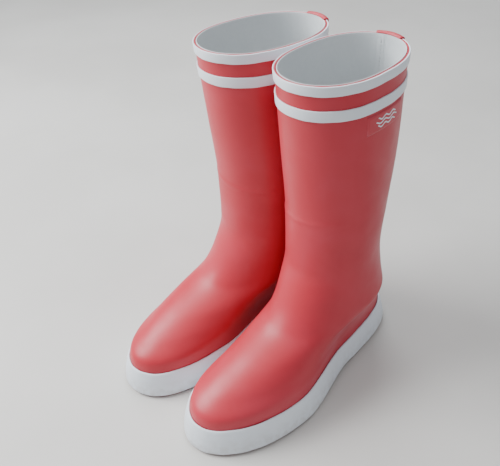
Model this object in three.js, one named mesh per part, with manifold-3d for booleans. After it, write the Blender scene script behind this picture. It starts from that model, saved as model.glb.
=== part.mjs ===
// A pair of calf-high deck boots: natural rubber laid up by hand over a cotton lining,
// with a white foxing strip round the sole and two white bands at the top of the leg.
//
// Millimetres, Z up, toes towards -Y. Each boot is drawn as the wearer's left one, with
// its outer side towards +X. The right boot is its mirror image.

import * as THREE from 'three';
import Module from 'manifold-3d';

const wasm = await Module();
wasm.setup();

// Overall sizes.
const SOLE_LENGTH = 270;
const BALL_WIDTH = 90;
const ANKLE_HEIGHT = 150;
const BOOT_HEIGHT = 354;
const RIM_SLOPE = 0.03;

// Sheet thicknesses, and the clearance left between neighbouring pieces.
const RUBBER = 1.6;
const STIFFENER = 0.8;
const LINING = 1.0;
const CLEARANCE = 0.3;

// The sole. Heights are above the floor.
const FOREFOOT_SEAT = 8;
const HEEL_SEAT = 20;
const FOXING_TOP_TOE = 31.4;
const FOXING_TOP_SIDE = 28.8;
const FOXING_TOP_HEEL = 31.5;
const FOXING_BOTTOM = 3.6;
const FOXING_BOTTOM_HEEL = 4.6;
const FOXING_THICKNESS = 2.2;
const FOXING_SWELL = 0.8;
const SOLE_EDGE = 7.8;
const SOLE_EDGE_HEEL = 6.6;
const SOLE_SETBACK = 1.6;
const SOLE_BEVEL = 0.8;
const WELT_TOP = 0.7;
const WELT_THINNEST = 0.4;
const ARCH_LIFT = 5.5;
const HEEL_BLOCK_LENGTH = 78;
const ARCH_LENGTH = 66;
const TREAD_DEPTH = 2.5;
const GROOVE_WIDTH = 3;
const GROOVE_PITCH = 17;
const GROOVE_WAVE = 3.5;
const FOREFOOT_GROOVES = 6;
const HEEL_GROOVES = 3;
const FIRST_HEEL_GROOVE = 14;
const GROOVE_TO_ARCH = 4;
const INSOLE_BOARD = 2;
const FOOTBED = 3;
const HEEL_CORE_INSET = 10;
const HEEL_CORE_WIDTH = 37.8;
const HEEL_CORE_BOTTOM = 6.5;

// The leg: two bands, the pull tab and the label.
const BAND_THICKNESS = 1.2;
const TOP_BAND_HEIGHT = 9;
const BAND_SPACING = 13;
const LOWER_BAND_HEIGHT = 10;
const TAB_WIDTH = 28;
const TAB_THICKNESS = 1.4;
const TAB_RISE = 3.6;
const TAB_OVERLAP = 46;
const LABEL_LENGTH = 52;
const LABEL_HEIGHT = 18;
const LABEL_THICKNESS = 0.9;
const LABEL_FROM_RIM = 35;
const LABEL_FORWARD = 0.245;

// Edges of the stiffeners laid between rubber and lining, and the lap at the ankle.
const TOE_PUFF_TOP = 56;
const INSTEP_PATCH_BOTTOM = 72;
const HEEL_COUNTER_TOP = 95;
const INSTEP_PATCH_TOP = 165;
const ANKLE_LAP = 208;

// How the pair stands.
const REFERENCE = 0.37;
const PAIR_GAP = 0.6;
const RIGHT_BOOT_AHEAD = 8.5;
const TOE_OUT = THREE.MathUtils.degToRad(5);

const RUBBER_RED = 0xb3202c;
const DEEP_RED = 0x8e1722;
const BAND_WHITE = 0xe6ebf0;
const COTTON = 0xc9cdcc;
const FELT = 0x8d8a84;
const BOARD = 0xa9916f;
const CORE = 0x3b3533;

// Sections of the rubber skin. Forward sizes are shares of the sole length from the heel,
// half widths are shares of the ball width, and fullness squares up the toe or heel end.
const foot = (share) => share * ANKLE_HEIGHT;
const leg = (share) => ANKLE_HEIGHT + share * (BOOT_HEIGHT - ANKLE_HEIGHT);
const SECTIONS = [
  { at: foot(0.05), toe: 0.996, heel: -0.028, outer: 0.5, inner: 0.515, widest: 0.65, toeFull: 2.45, heelFull: 5.5 },
  { at: foot(0.2), toe: 0.998, heel: -0.03, outer: 0.505, inner: 0.525, widest: 0.65, toeFull: 2.45, heelFull: 5.5 },
  { at: foot(0.28), toe: 0.989, heel: -0.018, outer: 0.504, inner: 0.516, widest: 0.625, toeFull: 2.45, heelFull: 5.2 },
  { at: foot(0.37), toe: 0.912, heel: -0.002, outer: 0.487, inner: 0.515, widest: 0.537, toeFull: 1.95, heelFull: 4.8 },
  { at: foot(0.47), toe: 0.782, heel: 0.011, outer: 0.48, inner: 0.505, widest: 0.455, toeFull: 1.75, heelFull: 3.5 },
  { at: foot(0.6), toe: 0.6, heel: 0.026, outer: 0.52, inner: 0.5, widest: 0.315, toeFull: 1.95, heelFull: 2.8 },
  { at: foot(0.77), toe: 0.522, heel: 0.043, outer: 0.5, inner: 0.5, widest: 0.306, toeFull: 1.95, heelFull: 2.4 },
  { at: leg(0), toe: 0.468, heel: 0.056, outer: 0.483, inner: 0.49, widest: 0.295, toeFull: 2.05, heelFull: 2.1 },
  { at: leg(0.25), toe: 0.463, heel: 0.037, outer: 0.5, inner: 0.494, widest: 0.284, toeFull: 2.15, heelFull: 2.05 },
  { at: leg(0.6), toe: 0.485, heel: 0.004, outer: 0.506, inner: 0.5, widest: 0.276, toeFull: 2.3, heelFull: 2.1 },
  { at: leg(1), toe: 0.513, heel: 0.004, outer: 0.5, inner: 0.494, widest: 0.269, toeFull: 2.5, heelFull: 2.3 },
];
const HEEL_TAPER = 0.33;
const ARCH_HOLLOW = 4;
const TOE_SWING = 11;
const HEEL_SWING = 0.5;

// Points round a section, and the heights of the rings that every layer shares.
const AROUND = 28;
const FIRST_RING = foot(0.05);
const FOXING_RING = foot(0.2);
const LEVEL_RING = foot(0.28);
const FOOT_RINGS = [
  FIRST_RING,
  FOXING_RING,
  LEVEL_RING,
  TOE_PUFF_TOP,
  INSTEP_PATCH_BOTTOM,
  HEEL_COUNTER_TOP,
  (HEEL_COUNTER_TOP + INSTEP_PATCH_TOP) / 2,
  INSTEP_PATCH_TOP,
  ANKLE_LAP,
];
const legRing = (share) => ANKLE_LAP + share * (BOOT_HEIGHT - ANKLE_LAP);
const LEG_RINGS = [ANKLE_LAP, legRing(0.3), legRing(0.64), BOOT_HEIGHT];
const ALL_RINGS = [...FOOT_RINGS, ...LEG_RINGS.slice(1)];

const smooth = (value) => {
  const t = THREE.MathUtils.clamp(value, 0, 1);
  return t * t * (3 - 2 * t);
};

// A curve through the sections that never overshoots between them (Fritsch and Carlson).
function sectionCurve(key) {
  const x = SECTIONS.map((section) => section.at);
  const y = SECTIONS.map((section) => section[key]);
  const last = x.length - 1;
  const slope = x.slice(1).map((value, i) => (y[i + 1] - y[i]) / (value - x[i]));
  const tangent = y.map((_, i) => {
    if (i === 0) return slope[0];
    if (i === last) return slope[last - 1];
    if (slope[i - 1] * slope[i] <= 0) return 0;
    return (2 * slope[i - 1] * slope[i]) / (slope[i - 1] + slope[i]);
  });
  return (height) => {
    const h = THREE.MathUtils.clamp(height, x[0], x[last]);
    let i = 0;
    while (i < last - 1 && h > x[i + 1]) i += 1;
    const span = x[i + 1] - x[i];
    const t = (h - x[i]) / span;
    const a = y[i] * (2 * t ** 3 - 3 * t ** 2 + 1) + y[i + 1] * (3 * t ** 2 - 2 * t ** 3);
    const b = tangent[i] * (t ** 3 - 2 * t ** 2 + t) + tangent[i + 1] * (t ** 3 - t ** 2);
    return a + b * span;
  };
}

const curves = {};
for (const key of ['toe', 'heel', 'outer', 'inner', 'widest', 'toeFull', 'heelFull']) {
  curves[key] = sectionCurve(key);
}

// Heights that change along the sole; forward is measured from the heel.
const seatAt = (forward) => {
  const rise = smooth((0.6 * SOLE_LENGTH - forward) / (0.28 * SOLE_LENGTH));
  return FOREFOOT_SEAT + (HEEL_SEAT - FOREFOOT_SEAT) * rise;
};
const foxingTopAt = (forward) => {
  const toe = smooth((forward - 0.55 * SOLE_LENGTH) / (0.4 * SOLE_LENGTH));
  const heel = smooth((0.35 * SOLE_LENGTH - forward) / (0.3 * SOLE_LENGTH));
  return FOXING_TOP_SIDE + (FOXING_TOP_TOE - FOXING_TOP_SIDE) * toe + (FOXING_TOP_HEEL - FOXING_TOP_SIDE) * heel;
};
const foxingBottomAt = (forward) => {
  const heel = smooth((0.45 * SOLE_LENGTH - forward) / (0.2 * SOLE_LENGTH));
  return FOXING_BOTTOM + (FOXING_BOTTOM_HEEL - FOXING_BOTTOM) * heel;
};

// How far the sole stands out from the upper at the foxing's bottom edge.
const soleEdgeAt = (forward) => {
  const toe = smooth((forward - 0.25 * SOLE_LENGTH) / (0.4 * SOLE_LENGTH));
  return SOLE_EDGE_HEEL + (SOLE_EDGE - SOLE_EDGE_HEEL) * toe;
};

// The rubber skin in plan: a point at this angle (0 at the toe, a quarter turn at the outer
// side) of the section at this height.
function planPoint(angle, height) {
  const toe = curves.toe(height) * SOLE_LENGTH;
  const heel = curves.heel(height) * SOLE_LENGTH;
  const widest = curves.widest(height) * SOLE_LENGTH;
  const along = Math.cos(angle);
  const across = Math.sin(angle);
  const reach = Math.abs(along);
  const forward = along >= 0 ? widest + (toe - widest) * reach : widest - (widest - heel) * reach;
  const full = along >= 0 ? curves.toeFull(height) : curves.heelFull(height);
  const half = (across >= 0 ? curves.outer(height) : curves.inner(height)) * BALL_WIDTH;
  const low = 1 - smooth((height - 35) / 55);
  let side = half * Math.sqrt(Math.max(1 - reach ** full, 0));
  side *= 1 - low * HEEL_TAPER * smooth((0.65 * SOLE_LENGTH - forward) / (0.335 * SOLE_LENGTH));
  if (across < 0) {
    const hollow = Math.exp(-(((forward - 0.42 * SOLE_LENGTH) / 32) ** 2));
    side = Math.max(side - low * ARCH_HOLLOW * hollow * Math.min(side / 20, 1), 0);
  }
  const toeSwing = TOE_SWING * smooth((forward - 0.6 * SOLE_LENGTH) / (0.45 * SOLE_LENGTH));
  const heelSwing = HEEL_SWING * smooth((0.55 * SOLE_LENGTH - forward) / (0.35 * SOLE_LENGTH));
  const swing = (toeSwing * (1 - smooth((height - 50) / 60))) + heelSwing * low;
  return { forward, side: side * Math.sign(across) - swing };
}

// The same in space. The first rings follow the seat and the foxing, the last the sloping rim.
function skinPoint(angle, height) {
  const { forward, side } = planPoint(angle, Math.min(height, BOOT_HEIGHT));
  let up = height;
  if (height < FOXING_RING) {
    const t = (height - FIRST_RING) / (FOXING_RING - FIRST_RING);
    up = THREE.MathUtils.lerp(seatAt(forward), foxingTopAt(forward), t);
  } else if (height < LEVEL_RING) {
    const t = (height - FOXING_RING) / (LEVEL_RING - FOXING_RING);
    up = THREE.MathUtils.lerp(foxingTopAt(forward), LEVEL_RING, t);
  }
  up += RIM_SLOPE * (forward - 0.26 * SOLE_LENGTH) * smooth((height - ANKLE_HEIGHT) / (BOOT_HEIGHT - ANKLE_HEIGHT - 30));
  return new THREE.Vector3(side, -forward, up);
}

// Outward direction of the skin, kept level where the layers end in flat edges.
function skinNormal(angle, height) {
  const step = 0.002;
  const low = Math.max(height - 0.5, FIRST_RING);
  const round = skinPoint(angle + step, height).sub(skinPoint(angle - step, height));
  const rise = skinPoint(angle, Math.min(low + 1, BOOT_HEIGHT)).sub(skinPoint(angle, Math.min(low, BOOT_HEIGHT - 1)));
  const normal = round.cross(rise).normalize();
  const inSole = smooth((height - FIRST_RING - 8) / (LEVEL_RING - FIRST_RING));
  const belowRim = 1 - smooth((height - BOOT_HEIGHT + 90) / 40);
  normal.z *= inSole * belowRim;
  return normal.normalize();
}

const ringAngle = (j) => (j / AROUND) * 2 * Math.PI;
const offsetPoint = (angle, height, offset) =>
  skinPoint(angle, height).addScaledVector(skinNormal(angle, height), offset);

// A point on a layer's facets: straight between the rings that the layers share.
function facetPoint(j, height, offset) {
  const angle = ringAngle(j);
  let i = 0;
  while (i < ALL_RINGS.length - 2 && height > ALL_RINGS[i + 1]) i += 1;
  const t = (height - ALL_RINGS[i]) / (ALL_RINGS[i + 1] - ALL_RINGS[i]);
  const below = offsetPoint(angle, ALL_RINGS[i], offset);
  const above = offsetPoint(angle, ALL_RINGS[i + 1], offset);
  return below.lerp(above, t);
}

// Collects points and faces into one closed mesh.
class Shell {
  constructor() {
    this.points = [];
    this.faces = [];
  }

  add(point) {
    this.points.push(point);
    return this.points.length - 1;
  }

  quad(a, b, c, d) {
    this.faces.push([a, b, c], [a, c, d]);
  }

  geometry() {
    const geometry = new THREE.BufferGeometry();
    geometry.setFromPoints(this.points);
    geometry.setIndex(this.faces.flat());
    geometry.computeVertexNormals();
    return geometry;
  }
}

// Sweeps a closed section round the boot. section(j) lists its corners, going up the outer
// face and down the inner one.
function ringSweep(section) {
  const shell = new Shell();
  const rows = [];
  for (let j = 0; j < AROUND; j += 1) rows.push(section(j).map((point) => shell.add(point)));
  for (let j = 0; j < AROUND; j += 1) {
    const here = rows[j];
    const next = rows[(j + 1) % AROUND];
    for (let k = 0; k < here.length; k += 1) {
      const k1 = (k + 1) % here.length;
      // Every layer splits its faces along the same diagonal, so that they lie parallel.
      const rising = shell.points[here[k]].z <= shell.points[here[k1]].z;
      if (rising) shell.quad(here[k], next[k], next[k1], here[k1]);
      else shell.quad(next[k], next[k1], here[k1], here[k]);
    }
  }
  return shell.geometry();
}

// A layer that goes all the way round, between two offsets from the skin.
function tube(rings, outer, inner) {
  return ringSweep((j) => [
    ...rings.map((height) => facetPoint(j, height, outer(height))),
    ...rings.slice().reverse().map((height) => facetPoint(j, height, inner(height))),
  ]);
}

// A layer that covers part of the skin: columns and rings are given as lists of positions.
function patch(columns, rings, outerPoint, innerPoint) {
  const shell = new Shell();
  const outer = rings.map((v) => columns.map((u) => shell.add(outerPoint(u, v))));
  const inner = rings.map((v) => columns.map((u) => shell.add(innerPoint(u, v))));
  const lastRow = rings.length - 1;
  const lastColumn = columns.length - 1;
  for (let i = 0; i < lastRow; i += 1) {
    for (let j = 0; j < lastColumn; j += 1) {
      shell.quad(outer[i][j], outer[i][j + 1], outer[i + 1][j + 1], outer[i + 1][j]);
      shell.quad(inner[i][j], inner[i + 1][j], inner[i + 1][j + 1], inner[i][j + 1]);
    }
    shell.quad(outer[i][0], outer[i + 1][0], inner[i + 1][0], inner[i][0]);
    shell.quad(outer[i][lastColumn], inner[i][lastColumn], inner[i + 1][lastColumn], outer[i + 1][lastColumn]);
  }
  for (let j = 0; j < lastColumn; j += 1) {
    shell.quad(outer[0][j], inner[0][j], inner[0][j + 1], outer[0][j + 1]);
    shell.quad(outer[lastRow][j], outer[lastRow][j + 1], inner[lastRow][j + 1], inner[lastRow][j]);
  }
  return shell.geometry();
}

// A plate in the shape of the sole: rings of points from the bottom edge to the top edge,
// closed by strips that run straight across the foot.
function plate(ringPoints) {
  const shell = new Shell();
  const rings = ringPoints.map((pointAt) => {
    const ring = [];
    for (let j = 0; j < AROUND; j += 1) ring.push(shell.add(pointAt(j)));
    return ring;
  });
  for (let i = 0; i < rings.length - 1; i += 1) {
    for (let j = 0; j < AROUND; j += 1) {
      const j1 = (j + 1) % AROUND;
      shell.quad(rings[i][j], rings[i][j1], rings[i + 1][j1], rings[i + 1][j]);
    }
  }
  const half = AROUND / 2;
  const bottom = rings[0];
  const top = rings[rings.length - 1];
  shell.faces.push([bottom[0], bottom[AROUND - 1], bottom[1]], [top[0], top[1], top[AROUND - 1]]);
  for (let j = 1; j < half - 1; j += 1) {
    const k = AROUND - j;
    shell.quad(bottom[j], bottom[k], bottom[k - 1], bottom[j + 1]);
    shell.quad(top[j], top[j + 1], top[k - 1], top[k]);
  }
  shell.faces.push(
    [bottom[half - 1], bottom[half + 1], bottom[half]],
    [top[half - 1], top[half], top[half + 1]],
  );
  return shell.geometry();
}

// Offsets of the layers from the rubber's outer face. The foot has a stiffener more than the leg.
const stiffenerOuter = -(RUBBER + CLEARANCE);
const stiffenerInner = stiffenerOuter - STIFFENER;
const liningOuter = (height) =>
  height > ANKLE_LAP ? -(RUBBER + CLEARANCE) : stiffenerInner - CLEARANCE;
const liningInner = (height) => liningOuter(height) - LINING;

// Where the sole meets the upper at one column of the grid: the forward place, the seat, the
// foxing's two edges and the sole's edge. The foxing leans in from the sole's edge to the upper.
const SOLE_CLEARANCE = CLEARANCE + 0.1;
const WELT_CLEARANCE = CLEARANCE + 0.15;
function soleAt(j) {
  const angle = ringAngle(j);
  const top = skinPoint(angle, FOXING_RING);
  const forward = -top.y;
  const bottom = foxingBottomAt(forward);
  const edge = soleEdgeAt(forward);
  return {
    angle,
    seat: skinPoint(angle, FIRST_RING).z,
    top: top.z,
    bottom,
    edge,
    backAt: (up) => THREE.MathUtils.mapLinear(up, bottom, top.z, edge, SOLE_CLEARANCE),
  };
}
const atHeight = (point, up) => new THREE.Vector3(point.x, point.y, up);

function foxingSection(j) {
  const { angle, top, bottom, edge, backAt } = soleAt(j);
  const middle = (top + bottom) / 2;
  const low = (offset) => offsetPoint(angle, FIRST_RING, offset);
  const high = (offset) => offsetPoint(angle, FOXING_RING, offset);
  const between = (offset) => low(offset).lerp(high(offset), 0.5);
  return [
    atHeight(low(edge + FOXING_THICKNESS), bottom),
    atHeight(between(backAt(middle) + FOXING_THICKNESS + FOXING_SWELL), middle),
    atHeight(high(backAt(top) + FOXING_THICKNESS), top),
    atHeight(high(backAt(top)), top),
    atHeight(low(edge), bottom),
  ];
}

function weltSection(j) {
  const { angle, seat, top, backAt } = soleAt(j);
  const reach = seat + WELT_TOP * (top - seat);
  const at = (up, offset) => {
    const t = (up - seat) / (top - seat);
    const low = offsetPoint(angle, FIRST_RING, offset);
    return atHeight(low.lerp(offsetPoint(angle, FOXING_RING, offset), t), up);
  };
  const outerAt = (up) => backAt(up) - WELT_CLEARANCE;
  const thin = Math.max(outerAt(reach), SOLE_CLEARANCE + WELT_THINNEST);
  return [at(seat, outerAt(seat)), at(reach, thin), at(reach, SOLE_CLEARANCE), at(seat, SOLE_CLEARANCE)];
}

// The outsole: a tread plate under the foxing, then a seat inside it, with an arch and a
// pocket for the heel core, and wavy grooves across the tread.
function bareOutsole() {
  const at = (j, offset, up) => atHeight(offsetPoint(ringAngle(j), FIRST_RING, offset), up);
  const rings = [
    ({ edge }) => [edge + FOXING_THICKNESS - SOLE_SETBACK - SOLE_BEVEL, 0],
    ({ edge, bottom }) => [edge + FOXING_THICKNESS - SOLE_SETBACK, bottom - CLEARANCE],
    ({ edge, bottom }) => [edge - SOLE_CLEARANCE, bottom - CLEARANCE + 0.02],
    ({ seat, backAt }) => [backAt(seat) - WELT_CLEARANCE, seat - SOLE_CLEARANCE],
  ];
  return plate(rings.map((ring) => (j) => at(j, ...ring(soleAt(j)))));
}

function heelCore(swell) {
  const length = HEEL_BLOCK_LENGTH - 2 * HEEL_CORE_INSET + 2 * swell;
  const width = HEEL_CORE_WIDTH + 2 * swell;
  const bottom = HEEL_CORE_BOTTOM - swell;
  const top = HEEL_SEAT - SOLE_CLEARANCE + (swell > 0 ? 2 : 0);
  const shape = new THREE.Shape();
  const radius = width / 2;
  shape.moveTo(-radius, -length / 2 + radius);
  shape.absarc(0, -length / 2 + radius, radius, Math.PI, 2 * Math.PI, false);
  shape.lineTo(radius, length / 2);
  shape.lineTo(-radius, length / 2);
  shape.closePath();
  const block = new THREE.ExtrudeGeometry(shape, { depth: top - bottom, bevelEnabled: false, curveSegments: 5 });
  block.rotateZ(Math.PI);
  block.translate(-HEEL_SWING, -HEEL_BLOCK_LENGTH / 2 - 1, bottom);
  return block;
}

// The hollow under the arch, seen from the side.
function archCutter() {
  const side = new THREE.Shape();
  const start = HEEL_BLOCK_LENGTH;
  const end = HEEL_BLOCK_LENGTH + ARCH_LENGTH;
  side.moveTo(start, -2);
  side.lineTo(start + 1.5, ARCH_LIFT - 1);
  side.lineTo(start + 3, ARCH_LIFT);
  side.lineTo(start + 0.4 * ARCH_LENGTH, ARCH_LIFT);
  side.lineTo(end - 0.25 * ARCH_LENGTH, 0.35 * ARCH_LIFT);
  side.lineTo(end, -2);
  side.closePath();
  const width = 2 * BALL_WIDTH;
  const cutter = new THREE.ExtrudeGeometry(side, { depth: width, bevelEnabled: false });
  // Drawn forward and up; turn it so forward is -Y, up is Z and the depth runs across the boot.
  cutter.applyMatrix4(new THREE.Matrix4().makeBasis(
    new THREE.Vector3(0, -1, 0),
    new THREE.Vector3(0, 0, 1),
    new THREE.Vector3(-1, 0, 0),
  ));
  cutter.translate(width / 2, 0, 0);
  return cutter;
}

function grooveCutter(forward) {
  const shape = new THREE.Shape();
  const reach = 0.9 * BALL_WIDTH;
  const steps = 6;
  const edge = [];
  for (let i = 0; i <= steps; i += 1) {
    const across = -reach + (2 * reach * i) / steps;
    edge.push([across, i % 2 === 0 ? 0 : GROOVE_WAVE]);
  }
  shape.moveTo(edge[0][0], edge[0][1]);
  for (const [across, wave] of edge.slice(1)) shape.lineTo(across, wave);
  for (const [across, wave] of edge.reverse()) shape.lineTo(across, wave + GROOVE_WIDTH);
  shape.closePath();
  const cutter = new THREE.ExtrudeGeometry(shape, { depth: TREAD_DEPTH + 2, bevelEnabled: false });
  cutter.translate(0, -forward, -2);
  return cutter;
}

// Booleans: geometry to solid and back.
function solidOf(geometry) {
  const flat = geometry.index ? geometry.toNonIndexed() : geometry;
  const at = flat.getAttribute('position');
  const found = new Map();
  const coords = [];
  const faces = [];
  for (let i = 0; i < at.count; i += 1) {
    const xyz = [at.getX(i), at.getY(i), at.getZ(i)];
    const key = xyz.map((value) => Math.round(value * 1e4)).join();
    if (!found.has(key)) {
      found.set(key, coords.length / 3);
      coords.push(...xyz);
    }
    faces.push(found.get(key));
  }
  return new wasm.Manifold(new wasm.Mesh({
    numProp: 3,
    vertProperties: new Float32Array(coords),
    triVerts: new Uint32Array(faces),
  }));
}

function geometryOf(solid) {
  const mesh = solid.getMesh();
  const geometry = new THREE.BufferGeometry();
  geometry.setAttribute('position', new THREE.BufferAttribute(new Float32Array(mesh.vertProperties), 3));
  geometry.setIndex(Array.from(mesh.triVerts));
  geometry.computeVertexNormals();
  return geometry;
}

function outsole() {
  let solid = solidOf(bareOutsole());
  solid = solid.subtract(solidOf(archCutter()));
  solid = solid.subtract(solidOf(heelCore(CLEARANCE)));
  const forefootStart = HEEL_BLOCK_LENGTH + ARCH_LENGTH + GROOVE_TO_ARCH;
  for (let i = 0; i < FOREFOOT_GROOVES; i += 1) {
    solid = solid.subtract(solidOf(grooveCutter(forefootStart + i * GROOVE_PITCH)));
  }
  for (let i = 0; i < HEEL_GROOVES; i += 1) {
    solid = solid.subtract(solidOf(grooveCutter(FIRST_HEEL_GROOVE + i * GROOVE_PITCH)));
  }
  return geometryOf(solid);
}

// A plate lying inside the lining, between two heights above the seat. Where the seat is so
// high that the plate reaches past the foxing, its edge bends with the lining there.
function insidePlate(from, to) {
  const seatUp = (j) => skinPoint(ringAngle(j), FIRST_RING).z;
  const foxingUp = (j) => skinPoint(ringAngle(j), FOXING_RING).z;
  const heightFor = (j, lift) => {
    const up = seatUp(j) + lift;
    return up <= foxingUp(j)
      ? THREE.MathUtils.mapLinear(up, seatUp(j), foxingUp(j), FIRST_RING, FOXING_RING)
      : THREE.MathUtils.mapLinear(up, foxingUp(j), LEVEL_RING, FOXING_RING, LEVEL_RING);
  };
  const inset = liningInner(FIRST_RING) - CLEARANCE;
  const level = (lift) => (j) => facetPoint(j, heightFor(j, lift), inset);
  const quarter = (to - from) / 4;
  const bendAt = (j) => foxingUp(j) - seatUp(j);
  const bend = (j) => level(THREE.MathUtils.clamp(bendAt(j), from + quarter, to - quarter))(j);
  const bends = [...Array(AROUND).keys()].some((j) => bendAt(j) < to);
  return plate(bends ? [level(from), bend, level(to)] : [level(from), level(to)]);
}

// Columns of the shared grid that lie within so many steps of the toe or the heel.
const columnsRound = (middle, reach) => {
  const columns = [];
  for (let j = middle - reach; j <= middle + reach; j += 1) columns.push(j);
  return columns;
};
const ringsBetween = (bottom, top) => [
  bottom,
  ...ALL_RINGS.filter((height) => height > bottom + 2 && height < top - 2),
  top,
];

function stiffener(middle, reach, bottom, top) {
  const at = (offset) => (j, height) => facetPoint(j, height, offset);
  return patch(columnsRound(middle, reach), ringsBetween(bottom, top), at(stiffenerOuter), at(stiffenerInner));
}

function band(bottom, top) {
  const rings = [bottom, top];
  return tube(rings, () => CLEARANCE + BAND_THICKNESS, () => CLEARANCE);
}

// The strap bonded over the bands at the back of the leg; its arched top hooks over the rim.
function pullTab() {
  const inner = CLEARANCE + BAND_THICKNESS + CLEARANCE;
  const outer = inner + TAB_THICKNESS;
  const hook = -RUBBER - CLEARANCE - LINING;
  const lip = BOOT_HEIGHT + CLEARANCE;
  const columns = 6;
  const shell = new Shell();
  const rows = [];
  const halfAngle = TAB_WIDTH / 2 / (curves.outer(BOOT_HEIGHT) * BALL_WIDTH * Math.sqrt(curves.heelFull(BOOT_HEIGHT) / 2));
  for (let i = 0; i <= columns; i += 1) {
    const share = (2 * i) / columns - 1;
    const angle = Math.PI + share * halfAngle;
    const crown = lip + 1 + (TAB_RISE - 1) * (1 - share * share);
    const at = (height, offset) => {
      const lift = Math.max(height - BOOT_HEIGHT, 0);
      const point = offsetPoint(angle, Math.min(height, BOOT_HEIGHT), offset);
      point.z += lift;
      return point;
    };
    rows.push([
      at(BOOT_HEIGHT - TAB_OVERLAP, outer),
      at(crown - 1.2, outer),
      at(crown, outer - 1.2),
      at(crown, hook + 1.4),
      at(crown - 1, hook),
      at(lip, hook),
      at(lip, inner),
      at(BOOT_HEIGHT - TAB_OVERLAP, inner),
    ].map((point) => shell.add(point)));
  }
  const corners = rows[0].length;
  for (let i = 0; i < columns; i += 1) {
    for (let k = 0; k < corners; k += 1) {
      const k1 = (k + 1) % corners;
      shell.quad(rows[i][k], rows[i + 1][k], rows[i + 1][k1], rows[i][k1]);
    }
  }
  const triangles = [[0, 1, 6], [0, 6, 7], [1, 2, 6], [2, 3, 6], [3, 5, 6], [3, 4, 5]];
  for (const [a, b, c] of triangles) {
    shell.faces.push([rows[0][a], rows[0][b], rows[0][c]]);
    shell.faces.push([rows[columns][a], rows[columns][c], rows[columns][b]]);
  }
  return shell.geometry();
}

// A rectangle of thicker rubber on the outer side of the leg.
function label() {
  const top = BOOT_HEIGHT - LABEL_FROM_RIM;
  const middle = LABEL_FORWARD * SOLE_LENGTH;
  const angleFor = (forward) => {
    const widest = curves.widest(top) * SOLE_LENGTH;
    const ahead = forward >= widest;
    const end = (ahead ? curves.toe(top) : curves.heel(top)) * SOLE_LENGTH;
    const share = (forward - widest) / Math.abs(end - widest);
    return Math.acos(THREE.MathUtils.clamp(share, -1, 1));
  };
  const columns = [1, 0.5, 0, -0.5, -1].map((share) => angleFor(middle + (share * LABEL_LENGTH) / 2));
  const at = (offset) => (angle, height) => offsetPoint(angle, height, offset);
  return patch(
    columns,
    [top - LABEL_HEIGHT, top],
    at(SOLE_CLEARANCE + LABEL_THICKNESS),
    at(SOLE_CLEARANCE),
  );
}

function piece(name, geometry, color, roughness) {
  const material = new THREE.MeshStandardMaterial({ color, roughness, metalness: 0 });
  const mesh = new THREE.Mesh(geometry, material);
  mesh.name = name;
  return mesh;
}

const halfGap = CLEARANCE / 2;
const footRings = [...FOOT_RINGS.slice(0, -1), ANKLE_LAP - halfGap];
const legRings = [ANKLE_LAP + halfGap, ...LEG_RINGS.slice(1)];
const topBandBottom = BOOT_HEIGHT - TOP_BAND_HEIGHT;
const lowerBandTop = topBandBottom - BAND_SPACING;
const toe = 0;
const heel = AROUND / 2;

const PIECES = [
  ['outsole', outsole(), DEEP_RED, 0.7],
  ['heel_core', heelCore(0), CORE, 0.9],
  ['insole_board', insidePlate(0.1, INSOLE_BOARD), BOARD, 0.9],
  ['footbed', insidePlate(INSOLE_BOARD + CLEARANCE, INSOLE_BOARD + CLEARANCE + FOOTBED), FELT, 0.95],
  ['lining', tube(ALL_RINGS, liningOuter, liningInner), COTTON, 0.95],
  ['toe_puff', stiffener(toe, 4, FIRST_RING + 2, TOE_PUFF_TOP), FELT, 0.9],
  ['instep_patch', stiffener(toe, 5, INSTEP_PATCH_BOTTOM, INSTEP_PATCH_TOP), FELT, 0.9],
  ['heel_counter', stiffener(heel, 5, FIRST_RING + 2, HEEL_COUNTER_TOP), FELT, 0.9],
  ['vamp', tube(footRings, () => 0, () => -RUBBER), RUBBER_RED, 0.45],
  ['leg', tube(legRings, () => 0, () => -RUBBER), RUBBER_RED, 0.45],
  ['welt', ringSweep(weltSection), DEEP_RED, 0.7],
  ['foxing', ringSweep(foxingSection), BAND_WHITE, 0.5],
  ['top_band', band(topBandBottom, BOOT_HEIGHT), BAND_WHITE, 0.5],
  ['lower_band', band(lowerBandTop - LOWER_BAND_HEIGHT, lowerBandTop), BAND_WHITE, 0.5],
  ['pull_tab', pullTab(), RUBBER_RED, 0.5],
  ['label', label(), RUBBER_RED, 0.5],
];

// One boot, standing on its own reference point part-way along the sole.
function boot(side) {
  const group = new THREE.Group();
  group.name = `${side}_boot`;
  for (const [name, geometry, color, roughness] of PIECES) {
    const mesh = piece(`${side}_${name}`, geometry, color, roughness);
    mesh.position.y = REFERENCE * SOLE_LENGTH;
    group.add(mesh);
  }
  return group;
}

// Each boot is turned out, then stood half the gap to its own side of the middle line.
const boundsOf = (group) => {
  group.updateMatrixWorld(true);
  return new THREE.Box3().setFromObject(group, true);
};

const left = boot('left');
left.rotation.z = TOE_OUT;
left.position.x = PAIR_GAP / 2 - boundsOf(left).min.x;

const right = boot('right');
right.scale.x = -1;
right.rotation.z = -TOE_OUT;
right.position.set(-PAIR_GAP / 2 - boundsOf(right).max.x, -RIGHT_BOOT_AHEAD, 0);

// Stand the pair on the middle of its own footprint.
const pair = new THREE.Group();
pair.name = 'deck_boots';
pair.add(left, right);
const middle = boundsOf(pair).getCenter(new THREE.Vector3());
for (const group of [left, right]) {
  group.position.x -= middle.x;
  group.position.y -= middle.y;
}

export default pair;
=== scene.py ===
"""Looks of a pair of calf-high rubber deck boots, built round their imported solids.

Each boot is dressed with a moulded rubber upper, a white foxing strip, a tread outsole,
two white bands, a cotton lining, a felt footbed, a pull tab and a side label. Shapes are
worked out in millimetres on the boot's own last, and placed in the row frame in metres.
"""

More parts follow.
